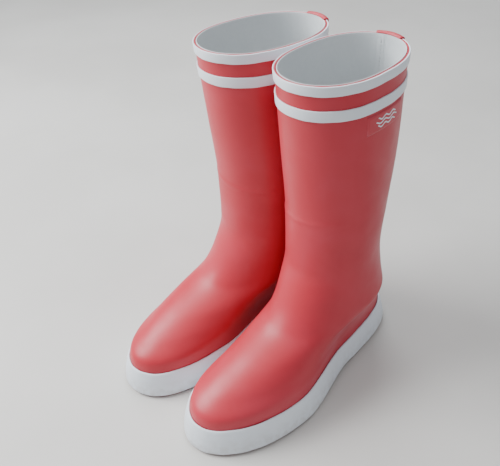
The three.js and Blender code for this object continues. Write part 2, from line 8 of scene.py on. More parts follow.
import logging
import math
from dataclasses import dataclass, field
from enum import Enum
from typing import Callable

import bpy
import numpy as np
from mathutils import Matrix, Vector, noise


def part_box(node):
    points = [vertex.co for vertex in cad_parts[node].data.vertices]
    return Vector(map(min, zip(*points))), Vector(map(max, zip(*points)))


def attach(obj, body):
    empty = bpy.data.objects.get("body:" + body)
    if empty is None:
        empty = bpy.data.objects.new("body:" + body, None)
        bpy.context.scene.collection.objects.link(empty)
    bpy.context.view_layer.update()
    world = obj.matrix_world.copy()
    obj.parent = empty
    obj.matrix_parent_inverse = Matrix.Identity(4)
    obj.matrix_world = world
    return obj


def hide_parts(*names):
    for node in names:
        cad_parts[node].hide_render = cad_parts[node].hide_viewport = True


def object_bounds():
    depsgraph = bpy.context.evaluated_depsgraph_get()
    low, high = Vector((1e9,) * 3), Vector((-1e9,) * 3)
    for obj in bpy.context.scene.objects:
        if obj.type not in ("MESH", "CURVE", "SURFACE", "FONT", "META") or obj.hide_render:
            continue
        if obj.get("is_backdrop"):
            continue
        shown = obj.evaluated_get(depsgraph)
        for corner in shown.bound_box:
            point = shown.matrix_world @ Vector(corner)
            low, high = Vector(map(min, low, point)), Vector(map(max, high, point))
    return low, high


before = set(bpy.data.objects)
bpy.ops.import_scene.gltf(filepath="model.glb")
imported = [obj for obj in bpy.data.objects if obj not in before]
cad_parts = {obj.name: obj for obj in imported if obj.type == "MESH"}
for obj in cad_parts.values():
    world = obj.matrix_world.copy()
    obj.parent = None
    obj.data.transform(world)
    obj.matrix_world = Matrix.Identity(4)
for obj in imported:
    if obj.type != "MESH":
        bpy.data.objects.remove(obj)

LOG = logging.getLogger("deck_boots")
MM = 0.001
FULL_TURN = 2.0 * math.pi
Points = np.ndarray
Color = tuple[float, float, float]


class Side(Enum):
    """Which foot a boot is for, and the sign that mirrors the last."""

    LEFT = "left"
    RIGHT = "right"

    @property
    def mirror(self) -> float:
        """+1 for the boot drawn as the last is, -1 for its mirror image."""
        return 1.0 if self is Side.LEFT else -1.0

    @property
    def body(self) -> str:
        """The name of the rigid body that this boot's pieces ride on."""
        return f"{self.value}_boot"


def smooth(value: Points) -> Points:
    """A soft step: 0 below 0, 1 above 1."""
    t = np.clip(value, 0.0, 1.0)
    return t * t * (3.0 - 2.0 * t)


def bump_at(value: Points, middle: float, width: float) -> Points:
    """A soft hill of height 1 round the middle."""
    return np.exp(-(((value - middle) / width) ** 2))


# --------------------------------------------------------------------------------------
# The last: the shape that every piece of a boot is laid on.
# --------------------------------------------------------------------------------------


@dataclass(frozen=True)
class Section:
    """One level section of the last.

    Forward sizes are shares of the sole length, half widths are shares of the ball
    width, and the two fullness values square up the toe end and the heel end.
    """

    at: float
    toe: float
    heel: float
    outer: float
    inner: float
    widest: float
    toe_full: float
    heel_full: float


@dataclass(frozen=True)
class SoftCurve:
    """A curve through points that never overshoots between them."""

    places: tuple[float, ...]
    values: tuple[float, ...]

    def tangents(self) -> np.ndarray:
        """The slope at each point."""
        x, y = np.array(self.places), np.array(self.values)
        slope = np.diff(y) / np.diff(x)
        tangent = np.zeros(len(x))
        tangent[0], tangent[-1] = slope[0], slope[-1]
        for i in range(1, len(x) - 1):
            if slope[i - 1] * slope[i] > 0:
                tangent[i] = 2 * slope[i - 1] * slope[i] / (slope[i - 1] + slope[i])
        return tangent

    def __call__(self, place: Points) -> Points:
        """The curve's value.

        Args:
            place: where along the curve.

        Returns:
            The value at each place.
        """
        x, y = np.array(self.places), np.array(self.values)
        tangent = self.tangents()
        p = np.clip(place, x[0], x[-1])
        i = np.clip(np.searchsorted(x, p, side="right") - 1, 0, len(x) - 2)
        span = x[i + 1] - x[i]
        t = (p - x[i]) / span
        ends = y[i] * (2 * t**3 - 3 * t**2 + 1) + y[i + 1] * (3 * t**2 - 2 * t**3)
        lean = tangent[i] * (t**3 - 2 * t**2 + t) + tangent[i + 1] * (t**3 - t**2)
        return ends + lean * span


@dataclass
class Last:
    """The boot's own last, in millimetres: x outwards, y backwards from the reference point, z up."""

    sole_length: float = 270.0
    ball_width: float = 90.0
    ankle_height: float = 150.0
    boot_height: float = 354.0
    rim_slope: float = 0.03
    forefoot_seat: float = 8.0
    heel_seat: float = 20.0
    foxing_top_toe: float = 31.4
    foxing_top_side: float = 28.8
    foxing_top_heel: float = 31.5
    heel_taper: float = 0.33
    arch_hollow: float = 4.0
    toe_swing: float = 11.0
    heel_swing: float = 0.5
    reference: float = 0.37
    toe_out: float = math.radians(5.0)
    foot_fade_from: float = 35.0
    foot_fade_over: float = 55.0
    swing_fade_from: float = 50.0
    swing_fade_over: float = 60.0
    hollow_width: float = 32.0
    hollow_edge: float = 20.0
    level_rim: float = 30.0
    crowding: float = 0.36
    curves: dict[str, SoftCurve] = field(default_factory=dict)

    def __post_init__(self) -> None:
        """Runs the soft curves through the sections."""
        sections = self.sections()
        places = tuple(section.at for section in sections)
        for key in ("toe", "heel", "outer", "inner", "widest", "toe_full", "heel_full"):
            values = tuple(getattr(section, key) for section in sections)
            self.curves[key] = SoftCurve(places, values)

    def foot(self, share: float) -> float:
        """A height in the foot, as a share of the way to the ankle."""
        return share * self.ankle_height

    def leg(self, share: float) -> float:
        """A height in the leg, as a share of the way from the ankle to the rim."""
        return self.ankle_height + share * (self.boot_height - self.ankle_height)

    def sections(self) -> tuple[Section, ...]:
        """The level sections, from the sole to the rim."""
        return (
            Section(self.foot(0.05), 0.996, -0.028, 0.5, 0.515, 0.65, 2.45, 5.5),
            Section(self.foot(0.2), 0.998, -0.03, 0.505, 0.525, 0.65, 2.45, 5.5),
            Section(self.foot(0.28), 0.989, -0.018, 0.504, 0.516, 0.625, 2.45, 5.2),
            Section(self.foot(0.37), 0.912, -0.002, 0.487, 0.515, 0.537, 1.95, 4.8),
            Section(self.foot(0.47), 0.782, 0.011, 0.48, 0.505, 0.455, 1.75, 3.5),
            Section(self.foot(0.6), 0.6, 0.026, 0.52, 0.5, 0.315, 1.95, 2.8),
            Section(self.foot(0.77), 0.522, 0.043, 0.5, 0.5, 0.306, 1.95, 2.4),
            Section(self.leg(0.0), 0.468, 0.056, 0.483, 0.49, 0.295, 2.05, 2.1),
            Section(self.leg(0.25), 0.463, 0.037, 0.5, 0.494, 0.284, 2.15, 2.05),
            Section(self.leg(0.6), 0.485, 0.004, 0.506, 0.5, 0.276, 2.3, 2.1),
            Section(self.leg(1.0), 0.513, 0.004, 0.5, 0.494, 0.269, 2.5, 2.3),
        )

    @property
    def first_ring(self) -> float:
        """The height of the upper's lowest edge."""
        return self.foot(0.05)

    @property
    def foxing_ring(self) -> float:
        """The height at which the upper leaves the foxing."""
        return self.foot(0.2)

    @property
    def level_ring(self) -> float:
        """The height above which sections are level."""
        return self.foot(0.28)

    def fade_back(self, forward: Points, start: float, over: float) -> Points:
        """Rises from 0 at a share of the sole's length to 1, over a share further back."""
        return smooth((start * self.sole_length - forward) / (over * self.sole_length))

    def fade_ahead(self, forward: Points, start: float, over: float) -> Points:
        """Rises from 0 at a share of the sole's length to 1, over a share further ahead."""
        return smooth((forward - start * self.sole_length) / (over * self.sole_length))

    def seat_at(self, forward: Points) -> Points:
        """The height of the foot's seat."""
        rise = self.fade_back(forward, 0.6, 0.28)
        return self.forefoot_seat + (self.heel_seat - self.forefoot_seat) * rise

    def foxing_top_at(self, forward: Points) -> Points:
        """The height of the foxing's top edge.

        Args:
            forward: distances ahead of the heel.

        Returns:
            Heights in millimetres.
        """
        toe = self.fade_ahead(forward, 0.55, 0.4)
        heel = self.fade_back(forward, 0.35, 0.3)
        level = self.foxing_top_side + (self.foxing_top_toe - self.foxing_top_side) * toe
        return level + (self.foxing_top_heel - self.foxing_top_side) * heel

    def plan(self, angle: Points, height: Points) -> tuple[Points, Points]:
        """The skin in plan.

        Args:
            angle: 0 at the toe, a quarter turn at the outer side.
            height: the section's height.

        Returns:
            How far forward of the heel, and how far to the outer side.
        """
        toe = self.curves["toe"](height) * self.sole_length
        heel = self.curves["heel"](height) * self.sole_length
        widest = self.curves["widest"](height) * self.sole_length
        along, across = np.cos(angle), np.sin(angle)
        reach = np.abs(along)
        ahead = along >= 0
        forward = np.where(ahead, widest + (toe - widest) * reach, widest - (widest - heel) * reach)
        full = np.where(ahead, self.curves["toe_full"](height), self.curves["heel_full"](height))
        outer, inner = self.curves["outer"](height), self.curves["inner"](height)
        half = np.where(across >= 0, outer, inner) * self.ball_width
        low = 1.0 - smooth((height - self.foot_fade_from) / self.foot_fade_over)
        side = half * np.sqrt(np.maximum(1.0 - reach**full, 0.0))
        side = side * (1.0 - low * self.heel_taper * self.fade_back(forward, 0.65, 0.335))
        hollow = self.arch_hollow * bump_at(forward, 0.42 * self.sole_length, self.hollow_width)
        hollowed = np.maximum(side - low * hollow * np.minimum(side / self.hollow_edge, 1.0), 0.0)
        side = np.where(across < 0, hollowed, side)
        toe_swing = self.toe_swing * self.fade_ahead(forward, 0.6, 0.45)
        heel_swing = self.heel_swing * self.fade_back(forward, 0.55, 0.35)
        in_foot = 1.0 - smooth((height - self.swing_fade_from) / self.swing_fade_over)
        swing = toe_swing * in_foot + heel_swing * low
        return forward, side * np.sign(across) - swing

    def skin(self, angle: Points, height: Points) -> Points:
        """Points on the rubber's outer face.

        Args:
            angle: 0 at the toe, a quarter turn at the outer side.
            height: nominal height; the lowest rings follow the seat and the foxing.

        Returns:
            An array of points, the last axis holding x, y, z.
        """
        angle, height = np.broadcast_arrays(np.asarray(angle, float), np.asarray(height, float))
        forward, side = self.plan(angle, np.minimum(height, self.boot_height))
        seat, top = self.seat_at(forward), self.foxing_top_at(forward)
        t = np.clip((height - self.first_ring) / (self.foxing_ring - self.first_ring), 0, 1)
        in_foxing = seat + (top - seat) * t
        t = np.clip((height - self.foxing_ring) / (self.level_ring - self.foxing_ring), 0, 1)
        above = top + (self.level_ring - top) * t
        up = np.where(height < self.foxing_ring, in_foxing, np.where(height < self.level_ring, above, height))
        leg_length = self.boot_height - self.ankle_height - self.level_rim
        tilt = smooth((height - self.ankle_height) / leg_length)
        up = up + self.rim_slope * (forward - 0.26 * self.sole_length) * tilt
        return np.stack([side, -forward, up], axis=-1)

    def normal(self, angle: Points, height: Points) -> Points:
        """Outward directions of the skin, kept level under the foxing and near the rim.

        Args:
            angle: as for skin.
            height: as for skin.

        Returns:
            Unit vectors.
        """
        angle, height = np.broadcast_arrays(np.asarray(angle, float), np.asarray(height, float))
        step = 0.002
        low = np.clip(height - 0.5, self.first_ring, self.boot_height - 1.0)
        round_way = self.skin(angle + step, height) - self.skin(angle - step, height)
        rise = self.skin(angle, low + 1.0) - self.skin(angle, low)
        out = np.cross(round_way, rise)
        out /= np.linalg.norm(out, axis=-1, keepdims=True)
        in_sole = smooth((height - self.first_ring - 8.0) / (self.level_ring - self.first_ring))
        below_rim = 1.0 - smooth((height - self.boot_height + 90.0) / 40.0)
        out[..., 2] *= in_sole * below_rim
        return out / np.linalg.norm(out, axis=-1, keepdims=True)

    def layer(self, angle: Points, height: Points, offset: Points) -> Points:
        """Points on a layer.

        Args:
            angle: as for skin.
            height: as for skin.
            offset: how far outside the rubber's outer face.

        Returns:
            Points in space.
        """
        depth = np.asarray(offset, float)
        return self.skin(angle, height) + self.normal(angle, height) * depth[..., None]

    def angle_for(self, forward: Points, height: float) -> Points:
        """The angle, on the outer side, at which a section reaches this far forward.

        Args:
            forward: distances ahead of the heel.
            height: the section's height.

        Returns:
            Angles from 0 at the toe to half a turn at the heel.
        """
        widest = float(self.curves["widest"](height)) * self.sole_length
        toe = float(self.curves["toe"](height)) * self.sole_length
        heel = float(self.curves["heel"](height)) * self.sole_length
        ahead = (forward - widest) / (toe - widest)
        behind = (forward - widest) / (widest - heel)
        return np.arccos(np.clip(np.where(forward >= widest, ahead, behind), -1.0, 1.0))

    @staticmethod
    def around(count: int) -> Points:
        """Angles round a section, closer together at the toe and the heel."""
        turn = np.arange(count) / count * FULL_TURN
        return turn - Last.crowding * np.sin(2.0 * turn)


@dataclass
class Stand:
    """Where one boot's last stands in the row frame."""

    last: Last
    side: Side
    origin: Vector = field(default_factory=lambda: Vector((0.0, 0.0, 0.0)))

    def place(self, points: Points) -> Points:
        """Takes points of the last to the row frame.

        Args:
            points: millimetres on the last.

        Returns:
            Metres in the row frame.
        """
        p = np.asarray(points, float).reshape(-1, 3).copy()
        p[:, 1] += self.last.reference * self.last.sole_length
        turn = self.last.toe_out
        x = p[:, 0] * math.cos(turn) - p[:, 1] * math.sin(turn)
        y = p[:, 0] * math.sin(turn) + p[:, 1] * math.cos(turn)
        placed = np.stack([x * self.side.mirror, y, p[:, 2]], axis=1) * MM
        return placed + np.array(self.origin)

    def settle(self, outline: Points, node: str) -> None:
        """Moves the stand so that an outline is centred on a CAD node, in plan.

        Args:
            outline: points of the last, in millimetres.
            node: the CAD node's name.
        """
        placed = self.place(outline)
        low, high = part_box(node)
        middle = (placed.min(0) + placed.max(0)) / 2
        self.origin.x += (low.x + high.x) / 2 - middle[0]
        self.origin.y += (low.y + high.y) / 2 - middle[1]


# --------------------------------------------------------------------------------------
# Meshes.
# --------------------------------------------------------------------------------------


class MeshMaker:
    """Builds one piece's mesh from rings and grids of points on the last."""

    def __init__(self, stand: Stand) -> None:
        """Starts an empty mesh on this stand."""
        self.stand = stand
        self.points: list[Points] = []
        self.faces: list[tuple[int, ...]] = []
        self.marks: list[tuple[float, float]] = []
        self.count = 0

    def add(self, points: Points, marks: Points) -> int:
        """Adds points with their texture marks.

        Args:
            points: positions on the last, in millimetres.
            marks: one pair per point: millimetres round, and millimetres along.

        Returns:
            The index of the first one.
        """
        flat = np.asarray(points, float).reshape(-1, 3)
        start = self.count
        self.points.append(flat)
        self.marks.extend(map(tuple, np.asarray(marks, float).reshape(-1, 2)))
        self.count += len(flat)
        return start

    def face(self, *corners: int) -> None:
        """Adds a face, wound the other way round on a mirrored boot."""
        wound = corners if self.stand.side is Side.LEFT else tuple(reversed(corners))
        self.faces.append(tuple(wound))

    def grid(self, points: Points, wrap_round: bool, wrap_along: bool) -> None:
        """Adds a grid of points as a quad surface.

        Args:
            points: rows along, columns round, then x, y, z.
            wrap_round: whether the last column joins the first.
            wrap_along: whether the last row joins the first.
        """
        rows, columns = points.shape[:2]
        steps_round = np.linalg.norm(np.diff(points, axis=1, append=points[:, :1]), axis=2)
        round_way = np.cumsum(np.mean(steps_round, axis=0)) - np.mean(steps_round, axis=0)[0]
        steps_along = np.linalg.norm(np.diff(points, axis=0), axis=2).mean(axis=1)
        along = np.concatenate([[0.0], np.cumsum(steps_along)])
        marks = np.stack(np.meshgrid(round_way, along), axis=-1)
        start = self.add(points, marks)
        for i in range(rows if wrap_along else rows - 1):
            below, above = start + i * columns, start + (i + 1) % rows * columns
            for j in range(columns if wrap_round else columns - 1):
                k = (j + 1) % columns
                self.face(below + j, below + k, above + k, above + j)

    def slab(self, outer: Points, inner: Points) -> None:
        """Adds a patch with thickness, from two open grids of the same shape.

        Args:
            outer: the face that shows.
            inner: the face behind it.
        """
        rows, columns = outer.shape[:2]
        first = self.count
        self.grid(outer, False, False)
        second = self.count
        marks = np.array(self.marks[first:second])
        self.add(inner, marks)
        for i in range(rows - 1):
            for j in range(columns - 1):
                a = second + i * columns + j
                self.face(a, a + columns, a + columns + 1, a + 1)
        rim = list(range(columns))
        rim += [i * columns + columns - 1 for i in range(1, rows)]
        rim += [(rows - 1) * columns + j for j in range(columns - 2, -1, -1)]
        rim += [i * columns for i in range(rows - 2, 0, -1)]
        for a, b in zip(rim, rim[1:] + rim[:1]):
            self.face(first + b, first + a, second + a, second + b)

    def build(self, name: str, material: bpy.types.Material) -> bpy.types.Object:
        """Makes the object.

        Args:
            name: the piece's name.
            material: its finish.

        Returns:
            The object, smooth shaded, in the row frame.
        """
        placed = self.stand.place(np.concatenate(self.points))
        mesh = bpy.data.meshes.new(name)
        mesh.from_pydata(placed.tolist(), [], self.faces)
        layer = mesh.uv_layers.new(name="around_and_along")
        marks = np.array(self.marks, np.float32) * MM
        corners = np.zeros(len(mesh.loops), np.int32)
        mesh.loops.foreach_get("vertex_index", corners)
        layer.data.foreach_set("uv", marks[corners].ravel())
        mesh.polygons.foreach_set("use_smooth", [True] * len(mesh.polygons))
        mesh.materials.append(material)
        mesh.update()
        mesh.validate()
        piece = bpy.data.objects.new(name, mesh)
        bpy.context.scene.collection.objects.link(piece)
        return piece


def rounded_profile(width: float, depth: float, radius: float, steps: int = 4) -> list[tuple[float, float]]:
    """The outline of a strip's section, its outer corners rounded.

    Args:
        width: how tall the strip is.
        depth: how thick it is.
        radius: of the two outer corners.
        steps: points on each corner.

    Returns:
        (along, out) pairs: up the outer face from its bottom, then down the back.
    """
    outline = []
    for corner, start in ((0, -math.pi / 2), (1, 0.0)):
        for k in range(steps + 1):
            turn = start + k / steps * math.pi / 2
            middle = radius if corner == 0 else width - radius
            out = depth - radius + radius * math.cos(turn)
            outline.append((middle + radius * math.sin(turn), out))
    return outline + [(width, 0.0), (0.0, 0.0)]


# --------------------------------------------------------------------------------------
# Shader groups and finishes.
# --------------------------------------------------------------------------------------


class Effect:
    """Builds a shader node group with named inputs and outputs."""

    def __init__(self, name: str) -> None:
        """Starts an empty group."""
        self.tree = bpy.data.node_groups.new(name, "ShaderNodeTree")
        self.source = self.tree.nodes.new("NodeGroupInput")
        self.result = self.tree.nodes.new("NodeGroupOutput")

    def takes(self, name: str, value: float | Color) -> None:
        """Adds an input: a number, or a colour where the value is a colour.

        Args:
            name: the input's name.
            value: what it holds until it is fed.
        """
        plain = isinstance(value, (int, float))
        kind = "NodeSocketFloat" if plain else "NodeSocketColor"
        socket = self.tree.interface.new_socket(name, in_out="INPUT", socket_type=kind)
        socket.default_value = value if plain else (*value, 1.0)

    def gives(self, name: str, kind: str = "NodeSocketFloat") -> None:
        """Adds an output socket."""
        self.tree.interface.new_socket(name, in_out="OUTPUT", socket_type=kind)


class Wiring:
    """Short ways to add and join nodes in a tree."""

    def __init__(self, tree: bpy.types.NodeTree) -> None:
        """Works on this tree."""
        self.tree = tree

    def node(self, kind: str, **settings: object) -> bpy.types.Node:
        """Adds a node and sets its properties."""
        made = self.tree.nodes.new(kind)
        for key, value in settings.items():
            setattr(made, key, value)
        return made

    def join(self, start: bpy.types.NodeSocket, end: bpy.types.NodeSocket) -> None:
        """Links two sockets."""
        self.tree.links.new(start, end)

    def feed(self, socket: bpy.types.NodeSocket, value: object) -> None:
        """Links a socket to another, or sets its value."""
        if isinstance(value, bpy.types.NodeSocket):
            self.join(value, socket)
        else:
            socket.default_value = value

    def math(self, operation: str, *values: object, clamp: bool = False) -> bpy.types.NodeSocket:
        """Adds a Math node.

        Args:
            operation: Blender's name for it.
            values: sockets or numbers.
            clamp: whether the result is kept between 0 and 1.

        Returns:
            The result's socket.
        """
        made = self.node("ShaderNodeMath", operation=operation, use_clamp=clamp)
        for socket, value in zip(made.inputs, values):
            self.feed(socket, value)
        return made.outputs[0]

    def spread(
        self, value: object, low: float, high: float, to_low: float, to_high: float
    ) -> bpy.types.NodeSocket:
        """Maps a value from one range to another, softly, and keeps it inside.

        Args:
            value: a socket or a number.
            low: the start of its range.
            high: the end of its range.
            to_low: what the start becomes.
            to_high: what the end becomes.

        Returns:
            The result's socket.
        """
        made = self.node("ShaderNodeMapRange", interpolation_type="SMOOTHSTEP")
        for socket, item in zip(made.inputs, (value, low, high, to_low, to_high)):
            self.feed(socket, item)
        return made.outputs[0]

    def blend(self, share: object, first: object, second: object) -> bpy.types.NodeSocket:
        """Mixes two colours by a share.

        Args:
            share: 0 gives the first, 1 the second.
            first: a socket or a colour.
            second: a socket or a colour.

        Returns:
            The mixed colour's socket.
        """
        made = self.node("ShaderNodeMix", data_type="RGBA")
        self.feed(made.inputs[0], share)
        for socket, color in ((made.inputs[6], first), (made.inputs[7], second)):
            self.feed(socket, color if isinstance(color, bpy.types.NodeSocket) else (*color, 1.0))
        return made.outputs[2]

    def noise(
        self, where: bpy.types.NodeSocket, scale: float, detail: float = 3.0
    ) -> bpy.types.NodeSocket:
        """Adds a noise texture.

        Args:
            where: its coordinates.
            scale: how fine it is.
            detail: how many finer layers it has.

        Returns:
            The noise value's socket.
        """
        made = self.node("ShaderNodeTexNoise")
        self.join(where, made.inputs["Vector"])
        made.inputs["Scale"].default_value = scale
        made.inputs["Detail"].default_value = detail
        return made.outputs["Fac"]

    def group(self, tree: bpy.types.NodeTree, **values: object) -> bpy.types.Node:
        """Places a node group.

        Args:
            tree: the group.
            values: its inputs, with an underscore for each space in a name.

        Returns:
            The group's node.
        """
        made = self.node("ShaderNodeGroup", node_tree=tree)
        for key, value in values.items():
            self.feed(made.inputs[key.replace("_", " ")], value)
        return made


def object_place(wiring: Wiring) -> bpy.types.NodeSocket:
    """Coordinates in the piece's own space, which is the row frame at rest."""
    return wiring.node("ShaderNodeTexCoord").outputs["Object"]


def cloth_place(wiring: Wiring) -> bpy.types.NodeSocket:
    """Coordinates round and along the piece, in metres."""
    return wiring.node("ShaderNodeTexCoord").outputs["UV"]


class Effects:
    """The shared effects, each built once."""

    def __init__(self) -> None:
        """Builds every group."""
        self.grain = self.build_grain()
        self.bloom = self.build_bloom()
        self.painted_highlight = self.build_painted_highlight()
        self.dust = self.build_dust()
        self.weave = self.build_weave()

    @staticmethod
    def build_grain() -> bpy.types.NodeTree:
        """Fine unevenness of a cured surface: a height, and a shift of roughness.

        Returns:
            The group's node tree.
        """
        effect = Effect("fine_grain")
        effect.takes("Grain Scale", 900.0)
        effect.takes("Ripple Scale", 45.0)
        effect.takes("Ripple Share", 0.5)
        effect.gives("Height")
        effect.gives("Roughness Shift")
        w = Wiring(effect.tree)
        where = object_place(w)
        fine = w.node("ShaderNodeTexNoise")
        ripple = w.node("ShaderNodeTexNoise")
        for made, scale in ((fine, "Grain Scale"), (ripple, "Ripple Scale")):
            w.join(where, made.inputs["Vector"])
            w.join(effect.source.outputs[scale], made.inputs["Scale"])
            made.inputs["Detail"].default_value = 4.0
        share = effect.source.outputs["Ripple Share"]
        rest = w.math("SUBTRACT", 1.0, share)
        fine_part = w.math("MULTIPLY", fine.outputs["Fac"], rest)
        ripple_part = w.math("MULTIPLY", ripple.outputs["Fac"], share)
        height = w.math("ADD", fine_part, ripple_part)
        w.join(height, effect.result.inputs["Height"])
        shift = w.math("SUBTRACT", ripple.outputs["Fac"], 0.5)
        w.join(shift, effect.result.inputs["Roughness Shift"])
        return effect.tree

    @staticmethod
    def build_bloom() -> bpy.types.NodeTree:
        """The pale, cloudy bloom that natural rubber brings to its surface.

        Returns:
            The group's node tree.
        """
        effect = Effect("rubber_bloom")
        effect.takes("Base", (0.5, 0.03, 0.05))
        effect.takes("Bloom", (0.6, 0.1, 0.15))
        effect.takes("Deep", (0.35, 0.015, 0.03))
        effect.takes("Amount", 0.3)
        effect.takes("Scale", 14.0)
        effect.gives("Color", "NodeSocketColor")
        effect.gives("Mask")
        w = Wiring(effect.tree)
        where = object_place(w)
        cloud = w.node("ShaderNodeTexNoise")
        w.join(where, cloud.inputs["Vector"])
        w.join(effect.source.outputs["Scale"], cloud.inputs["Scale"])
        cloud.inputs["Detail"].default_value = 5.0
        cloud.inputs["Distortion"].default_value = 0.4
        mask = w.spread(cloud.outputs["Fac"], 0.4, 0.75, 0.0, 1.0)
        deep = w.spread(cloud.outputs["Fac"], 0.2, 0.5, 1.0, 0.0)
        amount = effect.source.outputs["Amount"]
        given = effect.source.outputs
        pale = w.blend(w.math("MULTIPLY", mask, amount), given["Base"], given["Bloom"])
        both = w.blend(w.math("MULTIPLY", deep, amount), pale, given["Deep"])
        w.join(both, effect.result.inputs["Color"])
        w.join(mask, effect.result.inputs["Mask"])
        return effect.tree

    @staticmethod
    def build_painted_highlight() -> bpy.types.NodeTree:
        """Painted edge highlight: a mask that follows the surface's sharpness, broken by noise, that mixes a
        paler colour into sharp edges.

        Returns:
            The group's node tree.
        """
        effect = Effect("painted_edge_highlight")
        effect.takes("Color", (0.5, 0.5, 0.5))
        effect.takes("Worn", (0.7, 0.7, 0.7))
        effect.takes("Amount", 0.5)
        effect.gives("Color", "NodeSocketColor")
        effect.gives("Mask")
        w = Wiring(effect.tree)
        sharp = w.node("ShaderNodeNewGeometry").outputs["Pointiness"]
        edge = w.spread(sharp, 0.51, 0.62, 0.0, 1.0)
        patchy = w.spread(w.noise(object_place(w), 160.0), 0.35, 0.65, 0.2, 1.0)
        given = effect.source.outputs
        mask = w.math("MULTIPLY", w.math("MULTIPLY", edge, patchy), given["Amount"], clamp=True)
        # Painted highlight: sharp edges take the paler colour.
        w.join(w.blend(mask, given["Color"], given["Worn"]), effect.result.inputs["Color"])
        w.join(mask, effect.result.inputs["Mask"])
        return effect.tree

    @staticmethod
    def build_dust() -> bpy.types.NodeTree:
        """Dust and scuffs that gather low on the boot.

        Returns:
            The group's node tree.
        """
        effect = Effect("floor_dust")
        effect.takes("Color", (0.5, 0.5, 0.5))
        effect.takes("Dust", (0.35, 0.3, 0.25))
        effect.takes("Height", 0.03)
        effect.takes("Amount", 0.4)
        effect.gives("Color", "NodeSocketColor")
        effect.gives("Mask")
        w = Wiring(effect.tree)
        where = object_place(w)
        split = w.node("ShaderNodeSeparateXYZ")
        w.join(where, split.inputs[0])
        given = effect.source.outputs
        low = w.math("SUBTRACT", 1.0, w.math("DIVIDE", split.outputs["Z"], given["Height"]), clamp=True)
        patchy = w.spread(w.noise(where, 120.0, 6.0), 0.35, 0.7, 0.15, 1.0)
        mask = w.math("MULTIPLY", w.math("MULTIPLY", low, patchy), given["Amount"], clamp=True)
        w.join(w.blend(mask, given["Color"], given["Dust"]), effect.result.inputs["Color"])
        w.join(mask, effect.result.inputs["Mask"])
        return effect.tree

    @staticmethod
    def build_weave() -> bpy.types.NodeTree:
        """A plain weave: threads over and under each other, with slubs.

        Returns:
            The group's node tree.
        """
        effect = Effect("plain_weave")
        effect.takes("Threads", 900.0)
        effect.takes("Slub", 0.4)
        effect.gives("Height")
        effect.gives("Shade")
        w = Wiring(effect.tree)
        where = cloth_place(w)
        split = w.node("ShaderNodeSeparateXYZ")
        w.join(where, split.inputs[0])
        waves = []
        for axis in ("X", "Y"):
            turn = w.math("MULTIPLY", split.outputs[axis], effect.source.outputs["Threads"])
            waves.append(w.math("SINE", w.math("MULTIPLY", turn, math.pi)))
        over = w.math("MULTIPLY", *waves)
        slub = w.noise(where, 260.0, 5.0)
        uneven = w.math("MULTIPLY", w.math("SUBTRACT", slub, 0.5), effect.source.outputs["Slub"])
        height = w.math("ADD", w.math("ABSOLUTE", over), uneven)
        w.join(height, effect.result.inputs["Height"])
        shade = w.math("ADD", w.math("MULTIPLY", over, 0.25), w.math("ADD", uneven, 0.5))
        w.join(shade, effect.result.inputs["Shade"])
        return effect.tree


@dataclass(frozen=True)
class Finish:
    """What every finish has: its name and its shader's plain values."""

    name: str
    roughness: float = 0.5
    specular: float = 0.5
    sheen: float = 0.0

    def start(self) -> tuple[bpy.types.Material, Wiring, bpy.types.Node]:
        """Makes the material.

        Returns:
            The material, its wiring, and its Principled shader.
        """
        material = bpy.data.materials.new(self.name)
        material.use_nodes = True
        shader = material.node_tree.nodes["Principled BSDF"]
        shader.inputs["Roughness"].default_value = self.roughness
        shader.inputs["Specular IOR Level"].default_value = self.specular
        shader.inputs["Sheen Weight"].default_value = self.sheen
        return material, Wiring(material.node_tree), shader

    @staticmethod
    def relief(
        wiring: Wiring, shader: bpy.types.Node, height: bpy.types.NodeSocket, depth: float
    ) -> None:
        """Feeds a height to the shader's normal through a Bump node.

        Args:
            wiring: the material's wiring.
            shader: its Principled shader.
            height: the height's socket.
            depth: how deep the relief is, in metres.
        """
        bump = wiring.node("ShaderNodeBump")
        bump.inputs["Distance"].default_value = depth
        bump.inputs["Strength"].default_value = 1.0
        wiring.join(height, bump.inputs["Height"])
        wiring.join(bump.outputs["Normal"], shader.inputs["Normal"])


@dataclass(frozen=True)
class RubberFinish(Finish):
    """Cured rubber with bloom, a painted highlight on sharp edges, dust and fine unevenness."""

    base: Color = (0.5, 0.03, 0.05)
    bloom: Color = (0.58, 0.1, 0.14)
    deep: Color = (0.36, 0.016, 0.03)
    bloom_amount: float = 0.35
    bloom_scale: float = 14.0
    # Painted highlight: the paler colour mixed into sharp edges, and how strongly.
    painted_highlight_color: Color = (0.6, 0.12, 0.16)
    painted_highlight_amount: float = 0.3
    dust: Color = (0.36, 0.3, 0.25)
    dust_height: float = 0.03
    dust_amount: float = 0.25
    relief_depth: float = 0.00012
    ripple_share: float = 0.6
    roughness_swing: float = 0.25
    dusty_roughness: float = 0.3

    def make(self, effects: Effects) -> bpy.types.Material:
        """Builds the material.

        Args:
            effects: the shared shader groups.

        Returns:
            The finished material.
        """
        material, w, shader = self.start()
        bloom = w.group(
            effects.bloom, Base=(*self.base, 1.0), Bloom=(*self.bloom, 1.0), Deep=(*self.deep, 1.0),
            Amount=self.bloom_amount, Scale=self.bloom_scale,
        )
        # Painted highlight: sharp edges are mixed towards the paler colour.
        painted_highlight = w.group(
            effects.painted_highlight, Color=bloom.outputs["Color"], Worn=(*self.painted_highlight_color, 1.0), Amount=self.painted_highlight_amount
        )
        dust = w.group(
            effects.dust, Color=painted_highlight.outputs["Color"], Dust=(*self.dust, 1.0),
            Height=self.dust_height, Amount=self.dust_amount,
        )
        w.join(dust.outputs["Color"], shader.inputs["Base Color"])
        grain = w.group(effects.grain, Ripple_Share=self.ripple_share)
        shift = w.math("MULTIPLY", grain.outputs["Roughness Shift"], self.roughness_swing)
        matt = w.math("MULTIPLY", dust.outputs["Mask"], self.dusty_roughness)
        rough = w.math("ADD", w.math("ADD", shift, matt), self.roughness, clamp=True)
        w.join(rough, shader.inputs["Roughness"])
        self.relief(w, shader, grain.outputs["Height"], self.relief_depth)
        return material


